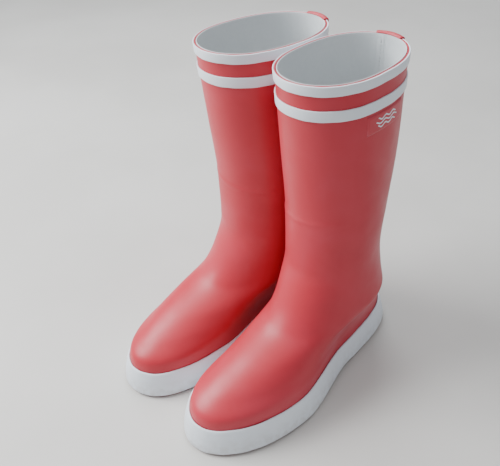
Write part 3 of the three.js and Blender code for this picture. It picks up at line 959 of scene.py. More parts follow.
@dataclass(frozen=True)
class ClothFinish(Finish):
    """Woven cotton with its own thread relief."""

    light: Color = (0.8, 0.82, 0.82)
    dark: Color = (0.6, 0.63, 0.65)
    threads: float = 1100.0
    relief_depth: float = 0.00025

    def make(self, effects: Effects) -> bpy.types.Material:
        """Builds the material.

        Args:
            effects: the shared shader groups.

        Returns:
            The finished material.
        """
        material, w, shader = self.start()
        weave = w.group(effects.weave, Threads=self.threads)
        stain = w.spread(w.noise(object_place(w), 22.0, 5.0), 0.3, 0.75, 0.0, 0.3)
        thread = w.blend(weave.outputs["Shade"], self.dark, self.light)
        soiled = w.blend(stain, thread, self.dark)
        w.join(soiled, shader.inputs["Base Color"])
        matt = w.math("MULTIPLY", weave.outputs["Height"], 0.1)
        rough = w.math("ADD", matt, self.roughness, clamp=True)
        w.join(rough, shader.inputs["Roughness"])
        self.relief(w, shader, weave.outputs["Height"], self.relief_depth)
        return material


@dataclass(frozen=True)
class FeltFinish(Finish):
    """Pressed felt or board: matted fibres."""

    light: Color = (0.4, 0.38, 0.35)
    dark: Color = (0.24, 0.22, 0.2)
    relief_depth: float = 0.0006

    def make(self, effects: Effects) -> bpy.types.Material:
        """Builds the material.

        Args:
            effects: the shared shader groups.

        Returns:
            The finished material.
        """
        material, w, shader = self.start()
        fibres = w.noise(object_place(w), 650.0, 8.0)
        fibre_share = w.spread(fibres, 0.35, 0.65, 0.0, 1.0)
        w.join(w.blend(fibre_share, self.dark, self.light), shader.inputs["Base Color"])
        grain = w.group(effects.grain, Grain_Scale=1500.0, Ripple_Scale=220.0)
        matt = w.math("MULTIPLY", grain.outputs["Roughness Shift"], 0.2)
        rough = w.math("ADD", matt, self.roughness, clamp=True)
        w.join(rough, shader.inputs["Roughness"])
        self.relief(w, shader, grain.outputs["Height"], self.relief_depth)
        return material


@dataclass(frozen=True)
class FloorFinish(Finish):
    """A plain pale studio floor."""

    light: Color = (0.62, 0.6, 0.57)
    dark: Color = (0.57, 0.55, 0.52)

    def make(self, effects: Effects) -> bpy.types.Material:
        """Builds the material.

        Args:
            effects: the shared shader groups.

        Returns:
            The finished material.
        """
        material, w, shader = self.start()
        cloud = w.noise(object_place(w), 3.0, 4.0)
        cloud_share = w.spread(cloud, 0.35, 0.65, 0.0, 1.0)
        w.join(w.blend(cloud_share, self.dark, self.light), shader.inputs["Base Color"])
        grain = w.group(effects.grain, Grain_Scale=300.0)
        self.relief(w, shader, grain.outputs["Height"], 0.0001)
        return material


class Finishes:
    """Every material of the pair, made once."""

    def __init__(self, effects: Effects) -> None:
        """Makes them all."""
        red = dict(base=(0.5, 0.026, 0.043), bloom=(0.55, 0.06, 0.09), deep=(0.38, 0.014, 0.026))
        self.upper = RubberFinish("red_rubber", roughness=0.42, specular=0.4, **red).make(effects)
        # The tab and the side label get a stronger painted highlight on their sharp edges.
        self.tab = RubberFinish("red_tab_rubber", roughness=0.42, painted_highlight_amount=0.5, **red).make(effects)
        # Painted shade: the outsole's red is much darker than the upper's, standing in for the shadow under
        # the foxing.
        self.tread = RubberFinish(
            "tread_rubber", roughness=0.62, base=(0.2, 0.014, 0.022), bloom=(0.26, 0.05, 0.05),
            deep=(0.12, 0.01, 0.014), dust_height=0.02, dust_amount=0.6, relief_depth=0.0003,
        ).make(effects)
        # The white pieces' sharp edges get a paler white as a painted highlight.
        white = dict(
            base=(0.74, 0.78, 0.83), bloom=(0.8, 0.83, 0.87), deep=(0.66, 0.7, 0.76), painted_highlight_color=(0.85, 0.87, 0.9)
        )
        self.foxing = RubberFinish(
            "white_foxing_rubber", roughness=0.45, dust_height=0.024, dust_amount=0.55,
            dust=(0.42, 0.38, 0.34), **white,
        ).make(effects)
        self.band = RubberFinish("white_band_rubber", roughness=0.42, dust_amount=0.0, **white).make(effects)
        self.mark = RubberFinish(
            "white_print", roughness=0.5, dust_amount=0.0, relief_depth=0.00005, **white
        ).make(effects)
        self.cotton = ClothFinish("cotton_lining", roughness=0.9, sheen=0.25, specular=0.2).make(effects)
        self.thread = ClothFinish(
            "seam_thread", roughness=0.8, sheen=0.2, light=(0.85, 0.86, 0.86), dark=(0.6, 0.62, 0.64),
            threads=2500.0,
        ).make(effects)
        self.felt = FeltFinish("felt_footbed", roughness=0.95, sheen=0.3, specular=0.2).make(effects)
        self.board = FeltFinish(
            "fibre_board", roughness=0.9, light=(0.45, 0.34, 0.22), dark=(0.3, 0.22, 0.14), specular=0.3
        ).make(effects)
        self.core = FeltFinish(
            "core_rubber", roughness=0.85, light=(0.09, 0.075, 0.07), dark=(0.04, 0.035, 0.033),
        ).make(effects)
        self.floor = FloorFinish("studio_floor", roughness=0.55).make(effects)


# --------------------------------------------------------------------------------------
# The pieces of a boot.
# --------------------------------------------------------------------------------------


@dataclass
class BootPiece:
    """What the pieces of a boot share: the stand they are laid on, and their finishes."""

    stand: Stand
    finishes: Finishes

    @property
    def last(self) -> Last:
        """The last the piece is laid on."""
        return self.stand.last

    @property
    def side(self) -> Side:
        """Which boot the piece belongs to."""
        return self.stand.side

    def name(self, plain: str) -> str:
        """The piece's name with its side in front."""
        return f"{self.side.value}_{plain}"

    def dress(self, piece: bpy.types.Object, slot: str, *nodes: str) -> bpy.types.Object:
        """Puts a piece on its body, in place of CAD nodes.

        Args:
            piece: the new object.
            slot: the record's material slot; not used.
            nodes: the CAD nodes it stands for, without their side.

        Returns:
            The same object.
        """
        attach(piece, self.side.body)
        if nodes:
            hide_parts(*[self.name(node) for node in nodes])
        LOG.info("built %s", piece.name)
        return piece


@dataclass
class Upper(BootPiece):
    """The red rubber skin of foot and leg, with the ridge where its sheets are lapped."""

    thickness: float = 1.6
    around: int = 168
    rings: int = 120
    lap_height: float = 208.0
    lap_relief: float = 0.55
    lap_wave: float = 5.0
    lap_width: float = 2.6
    lap_step: float = 0.28
    step_fade: float = 55.0
    unevenness: float = 0.35
    wave_scale: float = 0.021
    quiet_ends: tuple[float, float] = (40.0, 300.0)
    quiet_over: float = 30.0
    rim_radius: float = 0.6
    rim_steps: int = 6

    def relief(self, angle: Points, height: Points, points: Points) -> Points:
        """How far the skin stands out of the plain last.

        Args:
            angle: round the section.
            height: nominal height.
            points: where the plain skin lies.

        Returns:
            Offsets in millimetres.
        """
        seen = np.zeros(angle.shape)
        turned = points * np.array([self.side.mirror, 1.0, 1.0])
        for index in np.ndindex(angle.shape):
            seen[index] = noise.noise(Vector(turned[index]) * self.wave_scale)
        low, high = self.quiet_ends
        quiet = smooth((height - low) / self.quiet_over) * (1.0 - smooth((height - high) / self.quiet_over))
        wave = self.unevenness * seen * quiet
        front = np.maximum(np.cos(angle + 0.55), 0.0) ** 0.6
        lap = self.lap_height + self.lap_wave * np.sin(angle + 0.3)
        ridge = self.lap_relief * bump_at(height, lap, self.lap_width) * front
        fading = 1.0 - smooth((lap - height) / self.step_fade)
        step = self.lap_step * smooth((lap - height) / 3.0) * front * fading
        return wave + ridge + step

    def build(self) -> bpy.types.Object:
        """Builds the skin as a closed wall.

        Returns:
            The upper.
        """
        last = self.last
        angles = last.around(self.around)
        low = np.linspace(last.first_ring, last.level_ring, 14)
        lap_zone = np.arange(self.lap_height - 12.0, self.lap_height + 12.0, 1.5)
        plain = np.linspace(last.level_ring, last.boot_height - self.rim_radius, self.rings)
        heights = np.unique(np.concatenate([low, plain, lap_zone]))
        grid_angle, grid_height = np.meshgrid(angles, heights)
        plain_skin = last.skin(grid_angle, grid_height)
        outside = last.layer(grid_angle, grid_height, self.relief(grid_angle, grid_height, plain_skin))
        rim = []
        for k in range(1, self.rim_steps):
            turn = k / self.rim_steps * math.pi
            up = last.boot_height - self.rim_radius + self.rim_radius * math.sin(turn)
            out = -self.thickness / 2 * (1.0 - math.cos(turn))
            rim.append(self.raised(angles, up, out))
        inside_heights = np.linspace(last.boot_height - self.rim_radius, last.first_ring, 40)
        depth = np.full_like(angles, -self.thickness)
        inside = [last.layer(angles, np.full_like(angles, h), depth) for h in inside_heights]
        maker = MeshMaker(self.stand)
        maker.grid(np.concatenate([outside, np.array(rim), np.array(inside)]), True, True)
        piece = maker.build(self.name("rubber_upper"), self.finishes.upper)
        return self.dress(piece, "red_rubber", "vamp", "leg", "toe_puff", "instep_patch", "heel_counter")

    def raised(self, angles: Points, up: float, out: float) -> Points:
        """A ring at the rim.

        Args:
            angles: round the section.
            up: its height.
            out: how far outside the rubber's outer face.

        Returns:
            A ring of points.
        """
        height = np.full_like(angles, self.last.boot_height)
        ring = self.last.layer(angles, height, np.full_like(angles, out))
        ring[:, 2] += up - self.last.boot_height
        return ring


@dataclass
class Foxing(BootPiece):
    """The white strip round the sole, leaning in to the upper."""

    bottom: float = 3.6
    bottom_heel: float = 4.6
    thickness: float = 2.2
    sole_edge: float = 7.8
    sole_edge_heel: float = 6.6
    gap: float = 0.1
    swell: float = 0.8
    around: int = 220
    face_steps: int = 16
    line_depth: float = 0.22
    line_width: float = 0.07
    arch_start: float = 78.0
    arch_end: float = 144.0
    arch_rise: float = 1.3

    def at(self, angle: Points, share: float, depth: float) -> Points:
        """Points of the strip.

        Args:
            angle: round the sole.
            share: 0 at the bottom edge, 1 at the top edge.
            depth: how far out from the strip's back.

        Returns:
            A ring of points.
        """
        last = self.last
        top_skin = last.skin(angle, np.full_like(angle, last.foxing_ring))
        top = top_skin[:, 2]
        forward = -top_skin[:, 1]
        arch_falls = 1.0 - smooth((forward - self.arch_end + 6.0) / 6.0)
        arch = smooth((forward - self.arch_start) / 5.0) * arch_falls
        bottom = self.bottom_at(forward) + self.arch_rise * arch
        edge = self.edge_at(forward)
        offset = edge + (self.gap - edge) * share + depth
        low = last.layer(angle, np.full_like(angle, last.first_ring), offset)
        high = last.layer(angle, np.full_like(angle, last.foxing_ring), offset)
        ring = low + (high - low) * share
        ring[:, 2] = bottom + (top - bottom) * share
        return ring

    def bottom_at(self, forward: Points) -> Points:
        """The height of the strip's lower edge, before the arch lifts it."""
        heel = self.last.fade_back(forward, 0.45, 0.2)
        return self.bottom + (self.bottom_heel - self.bottom) * heel

    def edge_at(self, forward: Points) -> Points:
        """How far the sole stands out from the upper."""
        toe = self.last.fade_ahead(forward, 0.25, 0.4)
        return self.sole_edge_heel + (self.sole_edge - self.sole_edge_heel) * toe

    def section(self) -> list[tuple[float, float]]:
        """The strip's section, with the faint line along the middle of its face.

        Returns:
            (share, depth) pairs up the face and down the back.
        """
        face = []
        for k in range(self.face_steps + 1):
            share = k / self.face_steps
            hollow = self.line_depth * math.exp(-(((share - 0.5) / self.line_width) ** 2))
            depth = self.thickness + self.swell * math.sin(math.pi * share) ** 0.8 - hollow
            face.append((share, depth))
        top = [(1.015, self.thickness - 0.45), (1.02, self.thickness - 1.1), (1.01, self.thickness - 1.8)]
        face[0] = (0.0, self.thickness - 0.5)
        face.insert(1, (0.02, self.thickness - 0.08))
        face[-1] = (0.99, self.thickness - 0.05)
        return face + top + [(0.98, 0.0), (0.5, 0.0), (0.0, 0.0)]

    def uneven(self, angle: Points, share: float) -> Points:
        """Small hand-laid waves of the strip.

        Args:
            angle: round the sole.
            share: 0 at the bottom edge, 1 at the top edge.

        Returns:
            Millimetres outwards.
        """
        slow = np.sin(angle * 7.0 + 1.3 * self.side.mirror) * 0.16
        quick = np.sin(angle * 23.0 + 2.0 + self.side.mirror) * 0.07
        return (slow + quick) * (0.4 + 0.6 * abs(2.0 * share - 1.0))

    def build(self) -> bpy.types.Object:
        """Builds the strip.

        Returns:
            The foxing.
        """
        angles = self.last.around(self.around)
        rings = []
        for share, depth in self.section():
            ring = self.at(angles, share, depth)
            wave = self.uneven(angles, share)
            out = self.last.normal(angles, np.full_like(angles, self.last.foxing_ring))
            ring = ring + out * wave[:, None]
            if share > 0.95:
                ring[:, 2] += 0.25 * np.sin(angles * 11.0 + self.side.mirror)
            rings.append(ring)
        maker = MeshMaker(self.stand)
        maker.grid(np.array(rings), True, True)
        piece = maker.build(self.name("foxing_strip"), self.finishes.foxing)
        return self.dress(piece, "white_rubber", "foxing", "welt")


@dataclass
class Outsole(BootPiece):
    """The tread plate, its red darkened as painted shade: a heel block, a lifted arch and wavy grooves."""

    setback: float = 1.6
    bevel: float = 0.8
    gap: float = 0.3
    heel_block: float = 78.0
    arch_length: float = 66.0
    arch_lift: float = 3.0
    tread_depth: float = 2.3
    groove_width: float = 3.0
    groove_pitch: float = 17.0
    groove_wave: float = 3.5
    heel_grooves: tuple[float, ...] = (14.0, 31.0, 48.0)
    first_fore_groove: float = 148.0
    fore_grooves: int = 6
    wave_half: float = 27.0
    least: float = 0.1
    row_step: float = 1.1
    columns: int = 60

    def relief(self, forward: float, across: Points) -> Points:
        """How far the tread's face is cut up from the floor.

        Args:
            forward: the row's place along the sole.
            across: distances from the sole's middle line.

        Returns:
            Heights in millimetres.
        """
        wave = self.groove_wave / 2 * (1.0 - np.cos(across / self.wave_half * math.pi))
        fore = tuple(self.first_fore_groove + k * self.groove_pitch for k in range(self.fore_grooves))
        height = np.zeros_like(across)
        for start in self.heel_grooves + fore:
            middle = start - wave - self.groove_width / 2 + self.groove_wave / 2
            inside = 1.0 - smooth((np.abs(forward - middle) - self.groove_width / 2) / 0.8 + 0.5)
            height = np.maximum(height, self.tread_depth * inside)
        rise = smooth((forward - self.heel_block) / 3.0)
        level_end = forward - self.heel_block - 0.4 * self.arch_length
        fall = 1.0 - smooth(level_end / (0.6 * self.arch_length))
        return np.maximum(height, self.arch_lift * rise * fall)

    def edges(self, foxing: Foxing, inset: float) -> tuple[Points, Points]:
        """The plate's outer and inner edges, in rows from the toe to the heel.

        Args:
            foxing: the strip above it.
            inset: how far inside the plate's widest line.

        Returns:
            Points of the outer side and of the inner side.
        """
        last = self.last
        half_turn = last.around(2 * int(last.sole_length / self.row_step))
        half_turn = half_turn[1 : len(half_turn) // 2]
        sides = []
        for angle in (half_turn, -half_turn):
            ring = last.skin(angle, np.full_like(angle, last.foxing_ring))
            offset = foxing.edge_at(-ring[:, 1]) + foxing.thickness - self.setback - inset
            sides.append(last.layer(angle, np.full_like(angle, last.first_ring), offset))
        return sides[0], sides[1]

    def build(self, foxing: Foxing) -> bpy.types.Object:
        """Builds the plate under the foxing.

        Args:
            foxing: the strip above it.

        Returns:
            The outsole.
        """
        faces = []
        share = np.linspace(0.0, 1.0, self.columns)
        for inset, lower in ((0.0, False), (self.bevel, True)):
            rows = []
            for a, b in zip(*self.edges(foxing, inset)):
                row = a + (b - a) * share[:, None]
                forward = float(-row[:, 1].mean())
                row[:, 2] = foxing.bottom_at(np.array(forward)) - self.gap
                if lower:
                    cut = self.relief(forward, row[:, 0])
                    row[:, 2] = np.minimum(cut, row[:, 2] - self.least)
                rows.append(row)
            faces.append(np.array(rows))
        maker = MeshMaker(self.stand)
        maker.slab(faces[0], faces[1])
        piece = maker.build(self.name("tread_outsole"), self.finishes.tread)
        return self.dress(piece, "tread_rubber", "outsole")


@dataclass
class Bands(BootPiece):
    """The two white bands at the top of the leg."""

    thickness: float = 1.35
    top_height: float = 9.0
    spacing: float = 13.0
    lower_height: float = 10.0
    around: int = 168
    edge_radius: float = 0.55
    lift: float = 0.02
    top_drop: float = 0.15

    def strip(self, plain: str, bottom: float, height: float) -> bpy.types.Object:
        """Builds one band.

        Args:
            plain: its name without the side.
            bottom: the height of its lower edge.
            height: how tall it is.

        Returns:
            The band.
        """
        last = self.last
        angles = last.around(self.around)
        rings = []
        for along, out in rounded_profile(height, self.thickness, self.edge_radius):
            nominal = bottom + along
            over = max(nominal - last.boot_height, 0.0)
            depth = np.full_like(angles, out + self.lift)
            ring = last.layer(angles, np.full_like(angles, nominal - over), depth)
            wave = 0.12 * np.sin(angles * 9.0 + bottom) + 0.08 * np.sin(angles * 21.0)
            ring[:, 2] += over + wave * (1.0 if 0 < along < height else 0.8)
            rings.append(ring)
        maker = MeshMaker(self.stand)
        maker.grid(np.array(rings), True, True)
        return maker.build(self.name(plain), self.finishes.band)

    def build(self) -> list[bpy.types.Object]:
        """Builds both bands.

        Returns:
            The top band and the lower band.
        """
        top_bottom = self.last.boot_height - self.top_height
        lower_bottom = top_bottom - self.spacing - self.lower_height
        top = self.strip("white_top_band", top_bottom, self.top_height - self.top_drop)
        lower = self.strip("white_lower_band", lower_bottom, self.lower_height)
        self.dress(top, "white_rubber", "top_band")
        self.dress(lower, "white_rubber", "lower_band")
        return [top, lower]


@dataclass
class Lining(BootPiece):
    """The cotton lining, its back seam and the seam's stitches."""

    rubber: float = 1.6
    clearance: float = 0.3
    stiffener: float = 0.8
    thickness: float = 1.0
    lap_height: float = 208.0
    around: int = 144
    rings: int = 90
    seam_angle: float = math.pi + 0.11
    stitch_pitch: float = 3.9
    stitch_length: float = 2.3
    stitch_width: float = 1.0
    seam_lift: float = 0.35
    wrinkle: float = 0.25
    lowest_stitch: float = 110.0
    stitch_steps: int = 6
    thread_sides: int = 8

    def offset(self, height: Points, share: float) -> Points:
        """How far the lining lies from the rubber's outer face, which is negative inside.

        Args:
            height: nominal height.
            share: 0 for the lining's outer face, 1 for its inner one.

        Returns:
            Offsets in millimetres.
        """
        in_leg = smooth((height - self.lap_height + 6.0) / 12.0)
        foot = -(self.rubber + 2 * self.clearance + self.stiffener)
        leg = -(self.rubber + self.clearance)
        return foot + (leg - foot) * in_leg - share * self.thickness

    def build(self) -> list[bpy.types.Object]:
        """Builds the lining and its seam.

        Returns:
            The lining and the stitches.
        """
        last = self.last
        angles = last.around(self.around)
        seam = np.array([self.seam_angle + step for step in (-0.05, 0.0, 0.02, 0.05)])
        angles = np.unique(np.concatenate([angles, seam]))
        rows = []
        down = np.linspace(last.boot_height - 0.5, last.first_ring, self.rings)
        doubled = (angles > self.seam_angle - 0.001) & (angles < self.seam_angle + 0.12)
        overlap = np.where(doubled, self.seam_lift, 0.0)
        for k in range(5):
            turn = k / 4 * math.pi
            depth = self.rubber + self.clearance + self.thickness / 2 * (1.0 - math.cos(turn))
            ring = last.layer(angles, np.full_like(angles, last.boot_height), np.full_like(angles, -depth))
            ring[:, 2] += 0.5 * math.sin(turn) - 0.4
            rows.append(ring)
        for h in down[1:]:
            height = np.full_like(angles, h)
            inside = self.offset(height, 1.0) - overlap
            below_rim = smooth(np.array((330.0 - h) / 80.0))
            wrinkle = self.wrinkle * np.sin(h * 0.11 + 3.0 * np.sin(angles)) * below_rim
            rows.append(last.layer(angles, height, inside - wrinkle))
        for h in np.linspace(last.first_ring, last.boot_height - 3.0, 30):
            height = np.full_like(angles, h)
            rows.append(last.layer(angles, height, self.offset(height, 0.0)))
        maker = MeshMaker(self.stand)
        maker.grid(np.array(rows), True, True)
        piece = maker.build(self.name("cotton_lining"), self.finishes.cotton)
        return [self.dress(piece, "cotton", "lining"), self.stitches()]

    def stitches(self) -> bpy.types.Object:
        """Builds the row of stitches down the back seam.

        Returns:
            The stitches, as one piece.
        """
        maker = MeshMaker(self.stand)
        height = self.last.boot_height - 6.0
        while height > self.lowest_stitch:
            self.stitch(maker, height)
            height -= self.stitch_pitch
        piece = maker.build(self.name("lining_seam_stitches"), self.finishes.thread)
        return self.dress(piece, "cotton")

    def stitch(self, maker: MeshMaker, height: float) -> None:
        """Adds one stitch: a short thread that dips into the cloth at both ends.

        Args:
            maker: the mesh it joins.
            height: the stitch's upper end.
        """
        last = self.last
        rows = []
        for k in range(self.stitch_steps + 1):
            along = k / self.stitch_steps
            h = height - along * self.stitch_length
            half = float(last.curves["inner"](h)) * last.ball_width
            swell = math.sin(math.pi * min(max(along, 0.04), 0.96)) ** 0.5
            width = self.stitch_width * (0.35 + 0.65 * swell)
            ring = []
            for m in range(self.thread_sides):
                turn = m / self.thread_sides * FULL_TURN
                angle = self.seam_angle + 0.06 + width / 2 * math.cos(turn) / half
                cloth = float(self.offset(np.array(h), 1.0)) - self.seam_lift
                out = cloth - 0.28 * swell * (math.sin(turn) + 0.6)
                ring.append(last.layer(np.array([angle]), np.array([h]), np.array([out]))[0])
            rows.append(ring)
        start = maker.count
        maker.grid(np.array(rows), True, False)
        sides = range(self.thread_sides)
        maker.face(*reversed([start + m for m in sides]))
        maker.face(*[start + self.stitch_steps * self.thread_sides + m for m in sides])


@dataclass
class Footbed(BootPiece):
    """The felt footbed inside the boot."""

    inset: float = 4.3
    lift: float = 2.3
    thickness: float = 3.0
    length_steps: int = 60
    width_steps: int = 14
    dish: float = 0.9

    def surface(self, lift: float, dish: float) -> Points:
        """A grid across the foot.

        Args:
            lift: height above the seat.
            dish: how far the middle sinks.

        Returns:
            Rows from toe to heel, columns from the outer side to the inner.
        """
        last = self.last
        half_turn = last.around(2 * self.length_steps)[1 : self.length_steps]
        share = np.full_like(half_turn, last.first_ring)
        outer = last.layer(half_turn, share, np.full_like(half_turn, -self.inset))
        inner = last.layer(-half_turn, share, np.full_like(half_turn, -self.inset))
        rows = []
        for a, b in zip(outer, inner):
            t = np.linspace(0.0, 1.0, self.width_steps)[:, None]
            row = a + (b - a) * t
            row[:, 2] += lift - dish * np.sin(math.pi * t[:, 0]) ** 0.7
            rows.append(row)
        return np.array(rows)

    def build(self) -> bpy.types.Object:
        """Builds the footbed.

        Returns:
            The footbed.
        """
        maker = MeshMaker(self.stand)
        maker.slab(self.surface(self.lift + self.thickness, self.dish), self.surface(self.lift, 0.0))
        piece = maker.build(self.name("felt_footbed"), self.finishes.felt)
        return self.dress(piece, "felt", "footbed")


@dataclass
class PullTab(BootPiece):
    """The red strap at the back of the leg that hooks over the rim."""

    width: float = 28.0
    thickness: float = 1.4
    rise: float = 1.1
    overlap: float = 46.0
    hook: float = -2.9
    band_face: float = 1.5
    crown: float = 0.5
    columns: int = 25
    rows: int = 18
    hook_steps: int = 8

    def build(self) -> bpy.types.Object:
        """Builds the tab.

        Returns:
            The pull tab.
        """
        last = self.last
        half = float(last.curves["outer"](last.boot_height)) * last.ball_width
        full = float(last.curves["heel_full"](last.boot_height))
        half_angle = self.width / 2 / (half * math.sqrt(full / 2))
        shares = np.linspace(-1.0, 1.0, self.columns)
        angles = math.pi - shares * half_angle
        crown = self.crown + self.rise * (1.0 - shares**2)
        rim = np.full_like(angles, last.boot_height)
        outer, inner = [], []
        down = last.boot_height - self.overlap
        for h in np.linspace(down, last.boot_height, self.rows):
            height = np.full_like(angles, h)
            lift = self.band_face + self.thickness * smooth(np.array((h - down) / 5.0))
            outer.append(last.layer(angles, height, np.full_like(angles, lift)))
            inner.append(last.layer(angles, height, np.full_like(angles, self.band_face - 0.2)))
        reach = (self.band_face + self.thickness - self.hook) / 2
        middle = (self.band_face + self.thickness + self.hook) / 2
        for k in range(1, self.hook_steps + 1):
            turn = k / self.hook_steps * math.pi
            ring = last.layer(angles, rim, np.full_like(angles, middle + reach * math.cos(turn)))
            ring[:, 2] += (crown + 0.3) * math.sin(turn) + 0.2
            outer.append(ring)
            under = last.layer(angles, rim, np.full_like(angles, middle + (reach - 0.7) * math.cos(turn)))
            under[:, 2] += np.maximum((crown - 0.9) * math.sin(turn), 0.0) + 0.15
            inner.append(under)
        maker = MeshMaker(self.stand)
        maker.slab(np.array(outer), np.array(inner))
        piece = maker.build(self.name("rubber_pull_tab"), self.finishes.tab)
        return self.dress(piece, "red_rubber", "pull_tab")


@dataclass
class Label(BootPiece):
    """The raised patch on the outer side of the leg, with a plain mark of three waves."""

    length: float = 52.0
    height: float = 18.0
    thickness: float = 0.9
    from_rim: float = 35.0
    forward: float = 66.0
    columns: int = 41
    rows: int = 15
    wave_count: int = 3
    wave_pitch: float = 3.6
    wave_height: float = 1.1
    wave_width: float = 0.75
    print_height: float = 0.18

    def sheet(self, raise_by: Callable[[Points, Points], Points]) -> Points:
        """A grid over the patch.

        Args:
            raise_by: gives the offset for shares -1 to 1 along and up the patch.

        Returns:
            Rows upwards, columns from front to back.
        """
        last = self.last
        top = last.boot_height - self.from_rim
        along = np.linspace(1.0, -1.0, self.columns)
        up = np.linspace(-1.0, 1.0, self.rows)
        rows = []
        for v in up:
            h = top - self.height / 2 + v * self.height / 2
            angle = last.angle_for(self.forward + along * self.length / 2, top)
            rows.append(last.layer(angle, np.full_like(angle, h), raise_by(along, np.full_like(along, v))))
        return np.array(rows)

    def build(self) -> list[bpy.types.Object]:
        """Builds the patch and its mark.

        Returns:
            The patch and the mark.
        """

        def face(along: Points, up: Points) -> Points:
            """The patch's face, thinning at its rounded edge."""
            ends, sides = (1.0 - np.abs(along)) * self.length, (1.0 - np.abs(up)) * self.height
            edge = np.minimum(ends, sides) / 2
            return 0.1 + self.thickness * smooth(edge / 1.2 + 0.15)

        def back(along: Points, up: Points) -> Points:
            """The patch's back, just inside the rubber's face."""
            return np.full_like(along + up, -0.3)

        maker = MeshMaker(self.stand)
        maker.slab(self.sheet(face), self.sheet(back))
        patch = self.dress(maker.build(self.name("side_label"), self.finishes.tab), "red_rubber", "label")
        mark = self.dress(self.waves(), "white_rubber")
        return [patch, mark]

    def waves(self) -> bpy.types.Object:
        """Builds the mark: waves of raised white print.

        Returns:
            The mark.
        """
        last = self.last
        top = last.boot_height - self.from_rim
        maker = MeshMaker(self.stand)
        for k in range(self.wave_count):
            middle = top - self.height / 2 + (k - (self.wave_count - 1) / 2) * self.wave_pitch
            length = self.length * (0.62 - 0.1 * abs(k - 1))
            along = np.linspace(0.5, -0.5, 60) * length
            wave = self.wave_height * np.sin(along / length * FULL_TURN * 2.5)
            taper = smooth((0.5 - np.abs(along / length)) / 0.08 + 0.2)
            angle = last.angle_for(self.forward + along, top)
            faces = []
            raised = self.print_height
            for out, spread in ((0.0, 1.0), (raised, 0.9), (raised, -0.9), (0.0, -1.0)):
                height = middle + wave + spread * self.wave_width * taper
                faces.append(last.layer(angle, height, np.full_like(angle, self.thickness + out)))
            maker.grid(np.array(faces[::-1]), False, False)
        return maker.build(self.name("label_wave_mark"), self.finishes.mark)


@dataclass
class Boot(BootPiece):
    """One boot, with everything on it."""

    def build(self) -> None:
        """Builds every piece and dresses the CAD nodes that stay."""
        foxing = Foxing(self.stand, self.finishes)
        self.stand.settle(self.outline(foxing), self.name("foxing"))
        Upper(self.stand, self.finishes).build()
        foxing.build()
        Outsole(self.stand, self.finishes).build(foxing)
        Bands(self.stand, self.finishes).build()
        Lining(self.stand, self.finishes).build()
        Footbed(self.stand, self.finishes).build()
        PullTab(self.stand, self.finishes).build()
        Label(self.stand, self.finishes).build()
        self.repaint("heel_core", self.finishes.core)
        self.repaint("insole_board", self.finishes.board)

    def outline(self, foxing: Foxing) -> Points:
        """The foxing's lowest outer edge."""
        return foxing.at(self.last.around(foxing.around), 0.0, foxing.thickness)

    def repaint(self, node: str, material: bpy.types.Material) -> None:
        """Gives a CAD node that stays its own finish.

        Args:
            node: its name without the side.
            material: the finish.
        """
        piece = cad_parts[self.name(node)]
        piece.data.materials.clear()
        piece.data.materials.append(material)
        LOG.info("finished %s", piece.name)


# --------------------------------------------------------------------------------------
# The studio.
# --------------------------------------------------------------------------------------


def direction(azimuth: float, elevation: float) -> Vector:
    """The way from the pair to a camera or a lamp.

    Args:
        azimuth: degrees round the pair from its front.
        elevation: degrees above the floor.

    Returns:
        A unit vector.
    """
    turn, rise = math.radians(azimuth), math.radians(elevation)
    return Vector((math.sin(turn) * math.cos(rise), -math.cos(turn) * math.cos(rise), math.sin(rise)))


@dataclass(frozen=True)
class Viewpoint:
    """The camera: what it aims at, from where, and through which lens."""

    aim: tuple[float, float, float]
    distance: float
    azimuth: float
    elevation: float
    roll: float
    lens: float
    shift: tuple[float, float]

    def build(self) -> bpy.types.Object:
        """Makes the camera.

        Returns:
            The camera object.
        """
        data = bpy.data.cameras.new("camera")
        data.lens = self.lens
        data.sensor_width = 36.0
        data.shift_x, data.shift_y = self.shift
        camera = bpy.data.objects.new("camera", data)
        bpy.context.scene.collection.objects.link(camera)
        back = direction(self.azimuth, self.elevation)
        look = (-back).to_track_quat("-Z", "Y").to_matrix().to_4x4()
        tilt = Matrix.Rotation(math.radians(self.roll), 4, "Z")
        place = Matrix.Translation(Vector(self.aim) + back * self.distance)
        camera.matrix_world = place @ look @ tilt
        data.clip_start, data.clip_end = 0.01, 20.0
        bpy.context.scene.camera = camera
        return camera


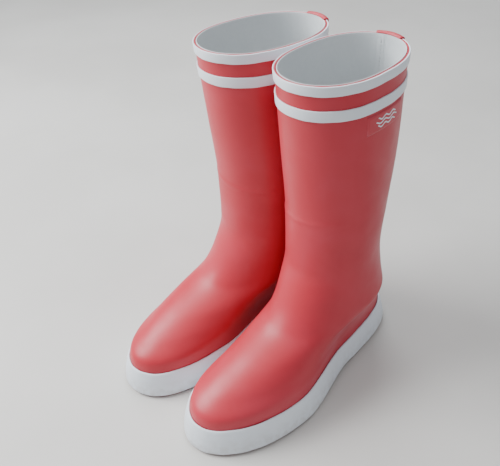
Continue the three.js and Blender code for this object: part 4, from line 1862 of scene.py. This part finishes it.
@dataclass(frozen=True)
class SoftLight:
    """A large lamp that points at the pair."""

    name: str
    azimuth: float
    elevation: float
    distance: float
    size: float
    power: float
    color: Color

    def build(self, aim: Vector) -> None:
        """Hangs the lamp.

        Args:
            aim: what it points at.
        """
        data = bpy.data.lights.new(self.name, "AREA")
        data.shape = "SQUARE"
        data.size = self.size
        data.energy = self.power
        data.color = self.color
        lamp = bpy.data.objects.new(self.name, data)
        bpy.context.scene.collection.objects.link(lamp)
        back = direction(self.azimuth, self.elevation)
        look = (-back).to_track_quat("-Z", "Y").to_matrix().to_4x4()
        lamp.matrix_world = Matrix.Translation(aim + back * self.distance) @ look


class Studio:
    """Floor, lights and camera."""

    def __init__(self, finishes: Finishes) -> None:
        """Keeps the finishes."""
        self.finishes = finishes

    def floor(self) -> None:
        """Lays a wide, flat, pale floor."""
        corners = [(-4.0, -4.0, 0.0), (4.0, -4.0, 0.0), (4.0, 4.0, 0.0), (-4.0, 4.0, 0.0)]
        mesh = bpy.data.meshes.new("floor")
        mesh.from_pydata(corners, [], [(0, 1, 2, 3)])
        mesh.materials.append(self.finishes.floor)
        floor = bpy.data.objects.new("floor", mesh)
        bpy.context.scene.collection.objects.link(floor)
        floor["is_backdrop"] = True

    def surroundings(self) -> None:
        """Sets a dim, even room light."""
        world = bpy.data.worlds.new("room")
        world.use_nodes = True
        background = world.node_tree.nodes["Background"]
        background.inputs["Color"].default_value = (0.86, 0.91, 0.97, 1.0)
        background.inputs["Strength"].default_value = 0.6
        bpy.context.scene.world = world

    def build(self) -> None:
        """Builds the whole studio."""
        low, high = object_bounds()
        aim = (low + high) / 2
        self.floor()
        self.surroundings()
        for lamp in (
            SoftLight("window", 312.0, 40.0, 1.5, 0.9, 46.0, (0.95, 0.98, 1.0)),
            SoftLight("back_window", 235.0, 55.0, 1.8, 0.9, 14.0, (0.93, 0.97, 1.0)),
            SoftLight("ceiling", 30.0, 80.0, 2.0, 1.8, 10.0, (1.0, 0.99, 0.97)),
        ):
            lamp.build(aim)
        Viewpoint(
            aim=(-0.0102, -0.0111, 0.1799), distance=0.6359, azimuth=53.01, elevation=37.92, roll=-4.1,
            lens=45.04, shift=(0.0163, -0.013),
        ).build()


def main() -> None:
    """Builds the pair in order."""
    logging.basicConfig(level=logging.INFO, format="%(name)s: %(message)s")
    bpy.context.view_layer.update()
    finishes = Finishes(Effects())
    Studio(finishes).build()
    for side in Side:
        Boot(Stand(Last(), side), finishes).build()


if __name__ == "__main__":
    main()
